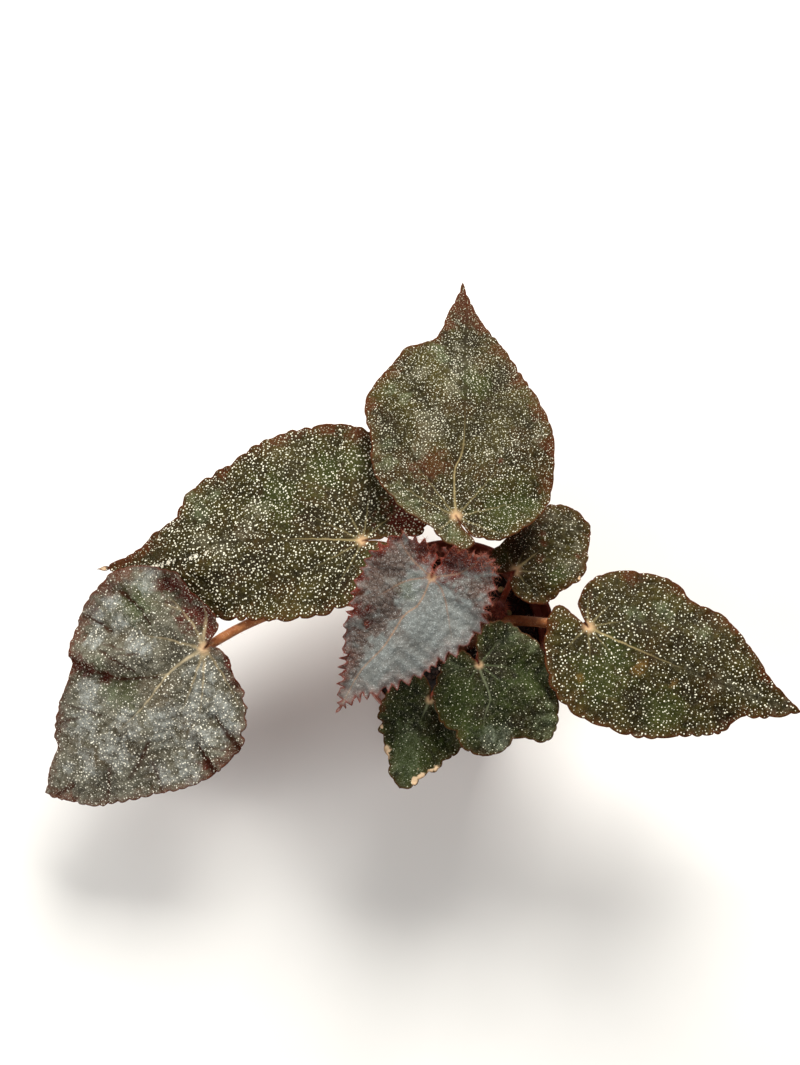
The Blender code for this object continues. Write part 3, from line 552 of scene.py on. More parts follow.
LEAVES = [
    Leaf("back", "olive", (-1, 35, 130), (87, 10, 3), 131, 7, 7, 42, (2, 7, 0.5), 1.4,
         [(-5, -2.5), (-9.5, -6.7), (-13, -8), (-16, -3), (-12, 5), (-6, 10), (-3, 15), (2, 22), (8, 27),
          (15, 33), (24, 36.5), (35, 37), (46, 40), (57, 41), (66, 37), (76, 30), (83, 25), (86, 15), (93, 10),
          (105, 7), (118, 3)],
         [(-5, -3), (-9, -7.2), (-9.3, -13), (-8.5, -19), (-3, -28), (5, -35), (15, -40), (30, -41.5),
          (45, -40.5), (59, -36),          (70, -30), (82, -24), (92, -17), (104, -9), (118, -3.5)],
         [(11, 1.1, 21, 1.2, 35, -2, 84, -1.4, 107, -2.2, 124, -1), (54, 36), (18, 31), (-6, 6), (54, -34), (16, -36), (-5, -17)],
         [(0, 0.24, 76, 26), (0, 0.3, 80, -21), (0, 0.55, 92, 9), (0, 0.6, 102, -8), (1, 0.45, 36, 34),
          (4, 0.45, 34, -38)],
         [], (SCALLOP, 8, 0.6, 0.7), 0.75, (4.2, 0.34), 0.5, [], (44, 28), (1.12, 0.35),
         [("rust", 114, 0, 12), ("rust", 98, 8, 6), ("rust", 102, -8, 6), ("rust", 88, -16, 5),
          ("rust", 71, -28, 5), ("rust", 57, -36, 6), ("rust", 37, -40, 5), ("rust", 21, -38, 4),
          ("rust", 70, 34, 5), ("rust", 54, 39, 4), ("rust", 22, 12, 7), ("rust", 27, -18, 1.5),
          ("grey", 9, 24, 7), ("grey", 2, 17, 7), ("grey", -3, 9, 6), ("grey", 22, 31, 6),
          ("grey", 33, 30, 4), ("grey", 61, 29, 3), ("grey", 56, 24, 3), ("grey", 82, 12, 4),
          ("grey", 76, 8, 4), ("grey", -9, 2, 7), ("silver", 84, 1, 4), ("silver", 76, 0, 5),
          ("silver", 68, 1, 5), ("silver", 60, 3, 4), ("silver", 45, 12, 6), ("silver", 37, 15, 6),
          ("silver", 29, 15, 4), ("silver", 30, -12, 2.5), ("silver", 33, -18, 3), ("silver", 36, -25, 3),
          ("silver", 39, -33, 3), ("dark", 72, -18, 8), ("dark", 118, 0, 10), ("dark", 104, 0, 7),
          ("silver", 68, 18, 4), ("green", 4, -20, 12), ("green", 10, -30, 9), ("green", 66, -8, 9),
          ("dark", 47, 31, 6), ("dark", 40, -9, 6), ("dark", 12, 8, 4), ("dark", 54, -22, 6),
          ("dark", 90, -4, 5)],
         (5, 11, 78), (-1, 3, 26), (-6, 8, 26), 1.9),
    Leaf("left", "olive", (-39.5, 30.6, 114), (-179, 15, -2), 123, 7, 6, 50, (2, 8, 1.0), 1.6,
         [(-9, 1.3), (-18, 3.3), (-22.5, 9), (-16, 19), (-5, 25), (8, 28), (18, 31.5), (32, 33.5), (45, 31.5),
          (60, 29.5), (76, 25.5), (91, 17), (104, 8), (113, 3)],
         [(-9, 0.5), (-19, 1.5), (-26, 0), (-28.5, -6), (-27, -16), (-23, -28), (-15, -42), (-5, -51),
          (4, -56), (17, -59), (33, -58), (43, -52.5), (52, -47.5), (60, -41), (72, -36.5), (81, -29),
          (86, -19.5), (94, -13.5), (102, -6.5), (112, -2.5)],
         [(117, 0), (62, 26), (18, 28), (70, -33), (30, -54), (-3, -48), (-22, -18)],
         [(0, 0.25, 84, 19), (0, 0.3, 88, -18), (0, 0.55, 102, 7), (0, 0.6, 104, -7), (3, 0.4, 52, -44),
          (4, 0.5, 12, -54)],
         [], (SCALLOP, 8.5, 1.5, 1.3), 0.75, (4.4, 0.36), 0.8, [], (30, 22), (1.42, 0.5),
         # The glare patches here are a painted highlight along the blade.
         [("shine", 93.5, 3.6, 1.3), ("shine", 91, 3.3, 1.5), ("shine", 88.4, 2.9, 1.6),
          ("shine", 85.8, 2.6, 1.4), ("shine", 83, 2.3, 1.2), ("shine", 77.5, 2.4, 1.2),
          ("shine", 75, 2, 1.4), ("shine", 72, 1.5, 1.3), ("shine", 67, 0.8, 1), ("pale", 121.5, 1, 3.4),
          ("maroon", -17, -9, 9), ("maroon", -25, -6, 8), ("dark", -12, -22, 9), ("dark", -4, -14, 8),
          ("silver", 62, -2, 6), ("silver", 70, -6, 5), ("silver", 52, -8, 5), ("silver", 46, -18, 5),
          ("grey", 79, -30, 4), ("grey", 74, -20, 5), ("grey", 66, -30, 4), ("green", 36, -22, 12),
          ("green", 18, -34, 11), ("green", 4, -38, 8), ("rust", 16, -57, 5), ("rust", 2, -53, 5),
          ("rust", 38, -54, 5), ("rust", 62, -39, 4), ("rust", 84, -24, 4), ("rust", 108, -4, 7),
          ("rust", 100, -7, 5), ("green", -6, 16, 9), ("dark", 30, -34, 7), ("dark", 20, -12, 7),
          ("dark", 44, 8, 6), ("dark", 62, 12, 6), ("dark", 8, 16, 5)],
         (-4, 5, 77), (-7, 5, 20), (-17, 9, 18), 1.9),
    Leaf("low_left", "grey", (-105, -12.6, 102), (-147, 32, -15), 108.5, 8, 4, 50, (2.5, 9, 0.3), 1.8,
         [(-4, 1.5), (-6, 6), (-6, 10), (-3, 15), (-2, 21), (-1.5, 25), (1.5, 27.5), (1.5, 31),
          (5.5, 32.5), (6, 36), (11.5, 37), (13, 40.5), (27, 43), (36, 42), (46, 39), (56, 35),
          (66, 31), (77, 25), (87, 20), (96, 11), (104, 6)],
         [(-5, -1), (-11, -2.5), (-12, -8), (-11, -16), (-11, -24), (-12, -31), (-6, -38), (2, -46),
          (10, -50), (17, -49.5), (28, -48.5), (38, -45), (45, -40), (50, -34.5), (56, -28.5), (66, -24.5),
          (76, -20), (84, -15), (89, -9.5), (98, -6)],
         [(8.8, -1.6, 18.8, -1.8, 38, 2, 60, 2, 104, 0.8), (62, 29), (40, 37), (5, 30),
          (6.6, -8.4, 11.9, -15.5, 30, -32.5, 42, -40), (-1.9, -9.1, -1.7, -16.1, 0, -37), (-9, -14)],
         [(0, 0.18, 27, -6.9, 38.5, -12.7, 44.3, -20.7, 52, -27), (0, 0.42, 84, 16), (0, 0.5, 84, -12), (5, 0.55, 18, -46)],
         [((14, -42), (12, -24), 2, 3.5), ((52, -33), (42, -20), 3, 3.5), ((18, 42), (16, 25), 2.5, 3.5),
          ((32, 45), (29, 29), 2.5, 3.5),
          ((-8, -8), (-6, -30), 5, 4)],
         (SCALLOP, 6, 0.9, 0.5), 0.75, (5.2, 0.6), 1.2,
         [((14, -41), (13.3, -36), 0.8, 1.6), ((13.3, -37), (11.5, -30), 0.8, 1.2),
          ((11.5, -30), (12.6, -23), 0.6, 1.1), ((33, -43), (30.5, -37), 0.7, 1.4),
          ((30.5, -37), (28.7, -31.9), 0.6, 1.1), ((35.7, -28.6), (32, -20), 0.6, 1),
          ((32, -20), (29.8, -12.1), 0.5, 1), ((50, -34), (47, -27), 1.2, 2.8),
          ((47, -27), (42, -18), 0.9, 1.8), ((42, -18), (36, -12), 0.8, 1.5), ((36, -12), (30, -8), 0.6, 1.2),
          ((30, -8), (23, -3), 0.5, 1),
          ((15.8, 24.4), (17.8, 32.9), 0.5, 1), ((17.8, 32.9), (18.1, 40), 0.9, 2.4),
          ((29.4, 29), (31, 34), 0.8, 1.3), ((31, 34), (31.4, 42), 1, 2.4),
          ((44.9, 14.4), (54, 18), 0.5, 1.4), ((54, 18), (63, 20), 0.4, 1.8), ((102, 5), (90, 7), 0.7, 1.8),
          ((68, 12), (80, 22), 0.4, 1.6), ((20, 40), (24, 33), 0.5, 0.9), ((27, -22), (33, -30), 0.4, 0.7),
          ((22, -16), (30, -22), 0.4, 0.6), ((52, 22), (58, 34), 0.4, 1.6), ((66, -14), (76, -18), 0.4, 1.3),
          ((56, -8), (66, -22), 0.4, 1.3)],
         (44, 26), (1.5, 0.41),
         [("silver", 7, 8, 7), ("silver", 11, 24, 7), ("silver", 20, 16, 9), ("silver", 26, 26, 8),
          ("silver", 14, 32, 5), ("silver", 34, 14, 8), ("silver", 52, -20, 6), ("silver", 58, -14, 5),
          ("silver", 29, -40, 5), ("silver", 19, -42, 5), ("silver", 1, -38, 6), ("silver", 36, -34, 5),
          ("silver", 46, 2, 7), ("silver", 60, 7, 9), ("silver", 74, 2, 7), ("silver", 86, 0, 4),
          ("silver", 40, 34, 8), ("silver", 52, 28, 6), ("silver", 20, -20, 6), ("grey", 8, -30, 8),
          ("grey", 40, -24, 5), ("grey", 44, -12, 6),
          ("rust", 102, 5, 6), ("rust", 96, 9, 4), ("rust", 50, -36, 6), ("rust", 26, 40, 4),
          ("maroon", 48, -31, 5), ("maroon", 46, -26, 4), ("maroon", 42, -19, 3), ("rust", 74, -20, 4),
          ("rust", 60, -29, 3),
          ("rust", 18, 42, 5), ("rust", 32, 43, 5), ("maroon", 31, 38, 3), ("dark", 22, -14, 7),
          ("dark", 10, -7, 6), ("dark", 34, -20, 5), ("maroon", -4, -30, 5), ("maroon", -8, -12, 8),
          ("maroon", -9, -22, 7), ("maroon", -3, -16, 5), ("silver", 66, -8, 8), ("dark", 74, 16, 6), ("dark", 88, 10, 5),
          ("silver", 12, 12, 6), ("silver", 22, -32, 5), ("maroon", -6, -4, 4), ("maroon", -4, 12, 3), ("maroon", -4, 20, 3),
          ("dark", -2, 18, 5), ("rust", 18, -49, 5), ("rust", 36, -44, 5), ("rust", 27, -47, 5), ("rust", 43, -41, 5),
          ("rust", 8, -48, 5),
          ("dark", 50, 8, 7), ("green", 12, -34, 9), ("green", 40, -8, 7)],
         (-9, 1, 76), (-20, 14, 14), (-40, -28, -1), 2.1),
    Leaf("centre", "silver", (-11.4, 5.3, 140), (-129, 27, -3), 67, 4, 4, 28, (2, 8, 0.2), 1.2,
         [(-6, -1.5), (-12, -3), (-15, 0.5), (-17, 7), (-20, 13), (-18, 19), (-12, 22), (-5, 25), (3, 28), (10, 27),
          (18, 26), (26, 22), (33, 20), (41, 16), (48, 11), (57, 5)],
         [(-6, -3), (-10, -5.6), (-10, -10.5), (-8.5, -16), (-5, -22), (2, -25), (10, -26), (20, -24),
          (28, -20), (36, -17), (44, -13), (52, -9), (60, -4)],
         [(11, 2.2, 18.4, 0.3, 32, 0.9, 47, -1.2, 64, 0.3), (7.5, -7.5, 17.7, -12.5, 29, -20),
          (-0.6, -9.6, -3.7, -19.3), (2.9, 7.9, 14.7, 20.8), (-4.5, 5.1, -7.1, 7.5, -13.8, 10.5)],
         [(0, 0.29, 27, -6.6, 39.5, -14.6), (0, 0.33, 42, 13), (0, 0.56, 48, -9), (0, 0.62, 54, 5)],
         [((-7, -7), (-10, 8), 6, 4)],
         (TOOTH, 4.4, 3.1, 3.1), 0.5, (2.7, 0.24), 2.2, [((28, -23), (21, -18), 0.9, 1.4)], (72, 22), (2.1, 0.15),
         [("purple", 4, -18, 11), ("purple", 13, -18, 7), ("purple", -3, -14, 7), ("purple", 23, -14, 8),
          ("purple", 14, -9, 5), ("purple", 20, -7, 6), ("purple", 29, -8, 6), ("purple", 36, -9, 6),
          ("purple", 44, -7, 5), ("purple", 52, -5, 5), ("purple", -6, 16, 6), ("green", 10, -5, 5),
          ("maroon", -8, 2, 8), ("maroon", -6, -7, 6), ("maroon", -13, 2, 7), ("maroon", -14, 9, 6),
          ("maroon", 17, -24, 3), ("maroon", 4, -23, 3), ("maroon", 22, -21, 3), ("maroon", 28, -17, 4),
          ("maroon", 24, -13, 2.5), ("maroon", 30, -10, 2), ("maroon", -3, -22, 3),
          ("rust", -1, 0, 3), ("silver", 13, 12, 20), ("silver", 34, 8, 14)],
         (11, 8, 79), (-1, 0, 24), (-9, -1, 24), 1.5),
    Leaf("front", "green", (8.7, -20.3, 104), (-89, 6, 0), 37, 2, 3, 25, (2, 7, 0.8), 1.2,
         [(-4, -0.5), (-9, -1), (-14, 0.5), (-18, 5), (-18, 14), (-14, 19), (-9, 25), (-2, 29), (6, 32),
          (15, 32), (25, 31), (31, 27.5), (31.5, 23), (30, 18), (30.5, 13), (34, 10), (36.5, 5)],
         [(-3, -2.5), (-6, -6), (-5, -11), (-1, -15), (5, -17.5), (12, -19.5), (18, -18.5), (24, -16),
          (27, -11), (31, -9.5), (35, -6)],
         [(3, 0.5, 13.5, 3.8, 21, 1.4, 34, -1), (26, 26), (4, 26), (-14, 12), (22, -12), (4, -14)],
         [(0, 0.4, 29, 12)], [], (SCALLOP, 5, 0.7, 1.2),
         0.6, (3.4, 0.36), 0.6, [], (24, 14), (1.75, 0.32),
         [("silver", 33, 8, 5), ("silver", 28, 10, 3), ("silver", 29, 3, 3.5), ("grey", -15, 17, 5),
          ("dark", 12, 14, 6), ("grey", 24, 27, 6), ("grey", 16, 29, 4),
          ("grey", -7, 24, 4), ("grey", 3, 29, 4), ("grey", 26, 26, 5), ("green", 22, -12, 12),
          ("green", 10, -8, 9), ("green", 8, 18, 10), ("dark", -3, 4, 7), ("dark", 2, 10, 6),
          ("dark", 24, 14, 4), ("grey", 0, -12, 4)],
         (13, 0, 76), (1, -4, 12), (-1, -8, 12), 1.6),
    Leaf("front_low", "green", (-11.3, -32.6, 94), (-110, 12, 0), 38, 2, 2, 20, (1.5, 6, 0.2), 1.0,
         [(-6, 1.5), (-12, 6), (-12, 13), (-7, 19), (0, 22), (8, 21), (14, 19), (19, 16.5), (21, 14),
          (26, 12.5), (28.5, 9), (32, 7), (36, 5)],
         [(-6, -2), (-9, -8), (-5, -15), (2, -18), (9, -19), (14, -18), (15.5, -16), (19, -16), (21, -13),
          (25, -11.5), (29, -8), (34, -6)],
         [(34, 0), (17, 14), (-4, 15), (16, -12), (-1, -13)],
         [], [], (SCALLOP, 5, 0.9, 0.8),
         0.6, (3.2, 0.34), 0.6, [], (8, 5), (1.8, 0.27),
         [("pale", 17, -15, 2.2), ("pale", 25, -10.5, 1.8), ("pale", 28, -9, 1.8), ("pale", 33, 5, 2.4),
          ("pale", 30.5, 7.5, 2.9), ("pale", 28, 9.6, 2.9), ("pale", 25.5, 12.4, 2.4), ("rust", 10, -17, 2.4), ("green", 24, 0, 12),
          ("grey", 16, -3, 7), ("grey", 27, 1, 7),
          ("dark", 4, 6, 9)],
         (3, -8, 74), (-1, -5, 9), (-4, -8, 8), 1.4),
    Leaf("right", "olive", (53.2, -6.5, 112), (-21.4, 6, 3), 92, 6, 6, 35, (1.5, 6, 0.9), 1.4,
         [(-4, 3.5), (-7, 8), (-7, 14), (-5, 20), (-1, 24.5), (6, 29), (15, 31), (25, 32), (31, 30.5), (36, 27),
          (42, 26.5), (49, 26), (57, 21.5), (65, 15.5), (74, 8), (82, 4)],
         [(-5, 1.5), (-9, 3.5), (-14, 4), (-16.5, 1), (-16.5, -5), (-14.5, -13), (-12, -19), (-8, -26),
          (-4, -30), (2, -33), (9, -35.5), (18, -36), (28, -36), (38, -33.5), (48, -28.5), (57, -24.5),
          (64, -20), (68, -12.5), (75, -10), (84, -5.5)],
         [(88, -1), (46, 22), (14, 27), (-4, 14), (50, -24), (16, -32), (-8, -18)],
         [(0, 0.26, 62, 14), (0, 0.34, 64, -14), (0, 0.6, 76, 4), (4, 0.45, 32, -31)],
         [], (SCALLOP, 7, 0.5, 1.2), 0.75, (4.0, 0.36), 0.5, [], (36, 15), (1.5, 0.44),
         [("yellow", 24, -9, 3), ("yellow", 4, -21, 1.6), ("yellow", 38.5, -10, 2), ("silver", 30, -1.5, 2),
          ("silver", 36, -2.2, 2.2), ("silver", 42, -2.6, 2.5), ("silver", 48, -3, 2.8), ("silver", 54, -3, 3),
          ("silver", 60, -2.8, 3.2), ("silver", 66, -2.4, 3.5), ("silver", 72, -2.8, 3.8),
          ("silver", 79, -2, 3.6), ("silver", 85, 0, 3), ("green", 10, -17, 12), ("green", 14, -8, 8),
          ("rust", 72, 9, 4), ("rust", 56, 22, 4), ("rust", 33, 30, 4), ("rust", 10, 28, 4),
          ("rust", -15, -6, 3), ("green", 40, -22, 10), ("grey", 26, 18, 5), ("grey", 44, 14, 4),
          ("grey", 16, 12, 5), ("dark", 20, 6, 5), ("dark", 34, 8, 5), ("dark", 50, 4, 4),
          ("dark", 46, -12, 5), ("dark", 62, -14, 5), ("dark", 28, -22, 6)],
         (24, 7.5, 75.5), (9, -2, 8), (7, -5, 13), 2.1),
    Leaf("small", "olive", (25.7, 22.2, 100), (33, 8, -3), 42, 3, 3, 19, (1.2, 6, 0.1), 1.0,
         [(-3, 1), (-6.5, 2), (-8, 6), (-6, 10), (-3, 13.5), (3, 14), (10, 15.5), (18, 17), (25, 18.5),
          (31, 19), (36, 17), (40, 12), (42, 6)],
         [(-3, -2), (-6, -4), (-6.5, -9), (-5, -13.5), (-1, -17), (5, -19), (12, -18.5), (20, -19),
          (25, -17), (31, -12), (35, -7.5), (39, -4)],
         [(38, 1), (27, 14), (3, 11), (22, -14), (2, -14)],
         [(0, 0.45, 34, 9)], [], (SCALLOP, 6, 0.7, 0.9),
         0.6, (3.4, 0.42), 0.8, [], (12, 9), (1.5, 0.38),
         [("rust", 12, -2, 2), ("rust", 20, 7, 2.2), ("rust", 17, 3, 1.8), ("rust", 27, -9, 1.6),
          ("silver", 33, 5, 5), ("silver", 28, 12, 4), ("silver", 22, -11, 5), ("silver", 30, -6, 4),
          ("silver", 24, -1, 3), ("pale", 22, -18.5, 1.8), ("pale", 12, -19.5, 2), ("green", -1, 10, 6),
          ("green", 14, -12, 6), ("dark", 8, 9, 7), ("dark", 16, 12, 5)],
         (22, 16.5, 76), (1, 1, 7), (1.5, 3, 8), 1.3),
]
# Of the tints, dark is painted shade, grey and silver are painted sheen (silver partly the leaf's own colour), the
# glare tint is a painted highlight, and maroon is partly real and partly painted shade.
TINTS = ("rust", "grey", "silver", "green", "maroon", "purple", "dark", "pale", "shine", "yellow")


def smooth_path(points, step):
    """Points a step apart on a smooth curve through the given ones."""
    knots = [Vector(point) for point in points]
    knots = [2 * knots[0] - knots[1]] + knots + [2 * knots[-1] - knots[-2]]
    path = [knots[1]]
    for before, start, end, after in zip(knots, knots[1:], knots[2:], knots[3:]):
        pieces = max(1, round((end - start).length / step))
        handle_out = start + (end - before) / 6
        handle_in = end - (after - start) / 6
        corners = [corner.to_3d() for corner in (start, handle_out, handle_in, end)]
        dense = interpolate_bezier(*corners, pieces + 1)
        path += [spot.to_2d() for spot in dense[1:]]
    return path


def margin(points, leaf, outward, rng):
    """One side of a blade, from the junction to the tip, with the lobes or teeth of its edge."""
    profile, pitch, left_depth, right_depth = leaf.edge
    depth = left_depth if outward > 0 else right_depth
    path = smooth_path([(0, 0), *points, (leaf.length, 0)], 0.7)
    reach = [0]
    for here, there in zip(path, path[1:]):
        reach.append(reach[-1] + (there - here).length)
    total = reach[-1]
    count = round(total / pitch)
    marks = np.cumsum([0] + [rng.uniform(*LOBE_PITCHES) for _ in range(count)])
    marks = marks / marks[-1] * total
    found = []
    for start, end in zip(marks, marks[1:]):
        size = depth * rng.uniform(*LOBE_SIZES)
        for phase, rise in profile:
            spot = start + phase * (end - start)
            taper = min(1, spot / MARGIN_START, (total - spot) / MARGIN_END)
            index = min(int(np.searchsorted(reach, spot)), len(path) - 2)
            index = max(index, 1)
            along = (path[index + 1] - path[index - 1]).normalized()
            share = (spot - reach[index - 1]) / (reach[index] - reach[index - 1])
            place = path[index - 1].lerp(path[index], share)
            found.append(place + outward * Vector((-along.y, along.x)) * size * (rise - MARGIN_INSET) * taper)
    return found[1:]


def outline_of(leaf):
    """The whole margin of a blade, anticlockwise from its junction."""
    rng = random.Random(leaf.name)
    left = margin(leaf.left, leaf, 1, rng)
    right = margin(leaf.right, leaf, -1, rng)
    return [Vector((0, 0))] + right + [Vector((leaf.length, 0))] + left[::-1]


def vein(start, route, step):
    """A smooth vein along its route of x, y pairs, or bowed away from the midrib if it has only one."""
    ends = [Vector(pair) for pair in zip(route[::2], route[1::2])]
    if len(ends) > 1:
        return smooth_path([start, *ends], step)
    end = ends[0]
    span = end - start
    side = 1 if end.y > start.y else -1
    middle = start + span / 2 + Vector((-abs(span.y), abs(span.x) * side)) * VEIN_BOW
    pieces = max(2, round(span.length / step))
    shares = [number / pieces for number in range(pieces + 1)]
    return [start * (1 - t) ** 2 + middle * 2 * t * (1 - t) + end * t ** 2 for t in shares]


def veins_of(leaf, step):
    """The main veins of a blade and their branches, as lists of points."""
    found = [vein(Vector((0, 0)), route, step) for route in leaf.veins]
    for parent, fraction, *route in leaf.branches:
        stem = found[parent]
        found.append(vein(stem[round(fraction * (len(stem) - 1))], route, step))
    return found


def distance_to(points, lines):
    """How far each point is from the nearest of the lines."""
    best = np.full(len(points), 1e9)
    for line in lines:
        for start, end in zip(line, line[1:]):
            start = np.array(start)
            along = np.array(end) - start
            share = np.clip((points - start) @ along / (along @ along), 0, 1)
            best = np.minimum(best, np.linalg.norm(points - start - share[:, None] * along, axis=1))
    return best


def is_inside(points, outline):
    """Which points lie inside a closed outline."""
    x, y = points.T
    inside = np.zeros(len(points), bool)
    for (x0, y0), (x1, y1) in zip(outline, outline[1:] + outline[:1]):
        if y0 != y1:
            inside ^= ((y0 > y) != (y1 > y)) & (x < (x1 - x0) * (y - y0) / (y1 - y0) + x0)
    return inside


def lattice(outline, spacing, jitter, rng):
    """A triangular lattice over a blade's box, each point moved by up to a share of the spacing."""
    corners = np.array(outline)
    low = corners.min(axis=0)
    high = corners.max(axis=0)
    row_step = spacing * math.sqrt(3) / 2
    found = []
    for row in range(int((high[1] - low[1]) / row_step) + 2):
        columns = low[0] + spacing * (np.arange(int((high[0] - low[0]) / spacing) + 2) - 0.5 * (row % 2))
        found += [(x, low[1] + row * row_step) for x in columns]
    return np.array(found) + rng.uniform(-jitter, jitter, (len(found), 2)) * spacing


RIB_SPACING = 6.5
RIB_ANGLE = 50
RIB_STEP = 1.6
RIB_STEPS = 9
RIB_REACH = 1.9
RIB_SWELL = 0.75
PUCKER_REACH = 0.3
RAGGED = (6, 0.75, 1.9, 0.6)
STREAK = (17, 3.2, 28)
UNDER_VEIN = 0.45
LIP = 3
STAR = {"olive": 2.3, "grey": 2.3, "silver": 1.5, "green": 1.6}
VEIN_WIDTHS = {"olive": (0.34, 0.7, 4), "grey": (0.42, 0.9, 7), "silver": (0.2, 0.5, 3), "green": (0.3, 0.5, 5)}


class Sheet(NamedTuple):
    """The lines of one blade."""
    outline: list
    veins: list
    ribs: list           # fine side veins
    cells: kdtree.KDTree


class Reach(NamedTuple):
    """How far points of a blade are from its lines."""
    midrib: np.ndarray
    vein: np.ndarray
    rib: np.ndarray
    rim: np.ndarray
    gap: np.ndarray      # nothing on the net of small veins between the cells


def ribs_of(outline, lines):
    """Fine side veins: they leave the main veins on both sides and end where they meet another."""
    skip = round(RIB_SPACING / VEIN_STEP)
    starts = []
    ways = []
    for line in lines:
        for here, there in zip(line[skip - 1::skip], line[skip::skip]):
            for side in (1, -1):
                starts.append(there)
                ways.append(Matrix.Rotation(math.radians(RIB_ANGLE) * side, 2) @ (there - here).normalized())
    places, ways = np.array(starts), np.array(ways)
    paths = [[place] for place in starts]
    growing = np.ones(len(paths), bool)
    for number in range(RIB_STEPS):
        places = places + ways * RIB_STEP
        growing &= is_inside(places, outline)
        if number > 0:
            growing &= distance_to(places, lines) > RIB_STEP
        for index in np.flatnonzero(growing):
            paths[index].append(Vector(places[index]))
    return [path for path in paths if len(path) > 2]


def cells_of(leaf, outline):
    """The middles of the small cells that the finest veins leave between them."""
    rng = np.random.default_rng(len(leaf.name) * 7 + int(leaf.length))
    seeds = lattice(outline, leaf.cells[0], 0.42, rng)
    tree = kdtree.KDTree(len(seeds))
    for number, (x, y) in enumerate(seeds):
        tree.insert((x, y, 0), number)
    tree.balance()
    return tree


def sheet_of(leaf):
    outline, lines = outline_of(leaf), veins_of(leaf, VEIN_STEP)
    return Sheet(outline, lines, ribs_of(outline, lines), cells_of(leaf, outline))


def reach_of(sheet, points):
    found = [sheet.cells.find_n((x, y, 0), 2) for x, y in points]
    return Reach(distance_to(points, sheet.veins[:1]), distance_to(points, sheet.veins[1:]),
                 distance_to(points, sheet.ribs), distance_to(points, [sheet.outline + sheet.outline[:1]]),
                 np.array([second[2] - first[2] for first, second in found]))


def noise_at(points, size, seed):
    """Smooth noise of a size in millimetres, from -1 to 1."""
    return np.array([noise.noise((x / size, y / size, seed)) for x, y in points])


def tint_at(leaf, points, kind):
    """How strongly a tint colours each point: soft patches with ragged outlines."""
    seed = leaf.length + TINTS.index(kind) * 3.7
    size, share, small, small_share = RAGGED
    spread = 1 + share * noise_at(points, size, seed) + small_share * noise_at(points, small, seed)
    strength = np.zeros(len(points))
    for mark, x, y, radius in leaf.marks:
        if mark == kind:
            away = ((points[:, 0] - x) ** 2 + (points[:, 1] - y) ** 2) / (radius * spread) ** 2
            strength = np.maximum(strength, np.exp(-away))
    return strength


def streaks(leaf, points):
    """Smooth noise drawn out along the lines that spread from the junction, from -1 to 1."""
    long, wide, spread = STREAK
    span = np.hypot(*points.T)
    angle = np.arctan2(points[:, 1], points[:, 0])
    drawn = np.column_stack([span / long, angle * spread / wide])
    return noise_at(drawn, 1, leaf.length + 2) + 0.5 * noise_at(drawn * 2.3, 1, leaf.length + 5)


def groove(reach, width):
    return np.exp(-(reach / width) ** 2)


def relief(leaf, points, reach):
    """The small shape of a blade's upper face: its veins sunk, the panels between them swollen."""
    away = np.minimum(reach.midrib, reach.vein)
    height = leaf.quilt * (1 - groove(away, VEIN_REACH)) + RIB_SWELL * (1 - groove(reach.rib, RIB_REACH))
    for start, end, depth, width in leaf.folds + leaf.creases:
        height -= depth * groove(distance_to(points, [[start, end]]), width)
    rough = 1 + (1.3 * tint_at(leaf, points, "purple") if leaf.skin == "silver" else 0)
    pucker = leaf.cells[1] * rough * (0.4 - groove(reach.gap, PUCKER_REACH * leaf.cells[0]))
    curl = leaf.frill * np.exp(-reach.rim / 2) * noise_at(points, 3, leaf.length)
    return height + pucker + curl - GROOVE * groove(away, GROOVE_WIDTH)


def blade_heights(leaf, points, reach):
    """Height of the blade's upper face over its own plane."""
    x, y = points.T
    share = x / leaf.length
    arch = leaf.arch * np.where(share > 0, 4 * share * (1 - share), 1.4 * share)
    cup = -leaf.cup * (y / leaf.half_width) ** 2
    size, number, phase = leaf.wave
    span = np.minimum(1, np.hypot(x, y) / leaf.half_width)
    wave = size * span ** 2 * np.sin(number * np.arctan2(y, x) + phase)
    return arch + cup + wave + relief(leaf, points, reach)


def stand_of(leaf):
    """The blade's place and turn in the plant."""
    heading, droop, roll = (math.radians(angle) for angle in leaf.turn)
    return np.array(leaf.base, float), np.array(Euler((roll, droop, heading)).to_matrix())


def blade_points(leaf, sheet):
    """Points of a blade: its margin, its veins with a row on either side, and a fine lattice."""
    points = list(sheet.outline)
    edges = []
    flanks = []
    for line in sheet.veins:
        first = len(points)
        points += line
        edges += [(number, number + 1) for number in range(first, len(points) - 1)]
        for start, end in zip(line, line[1:]):
            side = Vector((start.y - end.y, end.x - start.x)).normalized() * VEIN_FLANK
            middle = (start + end) / 2
            flanks += [middle + side, middle - side]
    closed = [sheet.outline + sheet.outline[:1]]
    rows = np.array(flanks)
    rows = rows[is_inside(rows, sheet.outline)]
    rows = rows[(distance_to(rows, sheet.veins) > 0.9 * VEIN_FLANK) & (distance_to(rows, closed) > 0.5)]
    spread = lattice(sheet.outline, leaf.step, 0.1, np.random.default_rng(4))
    spread = spread[is_inside(spread, sheet.outline)]
    clear = distance_to(spread, sheet.veins) > VEIN_FLANK + 0.4 * leaf.step
    clear &= distance_to(spread, closed) > 0.4 * leaf.step
    points += [Vector(point) for point in np.concatenate([rows, spread[clear]])]
    return points, edges


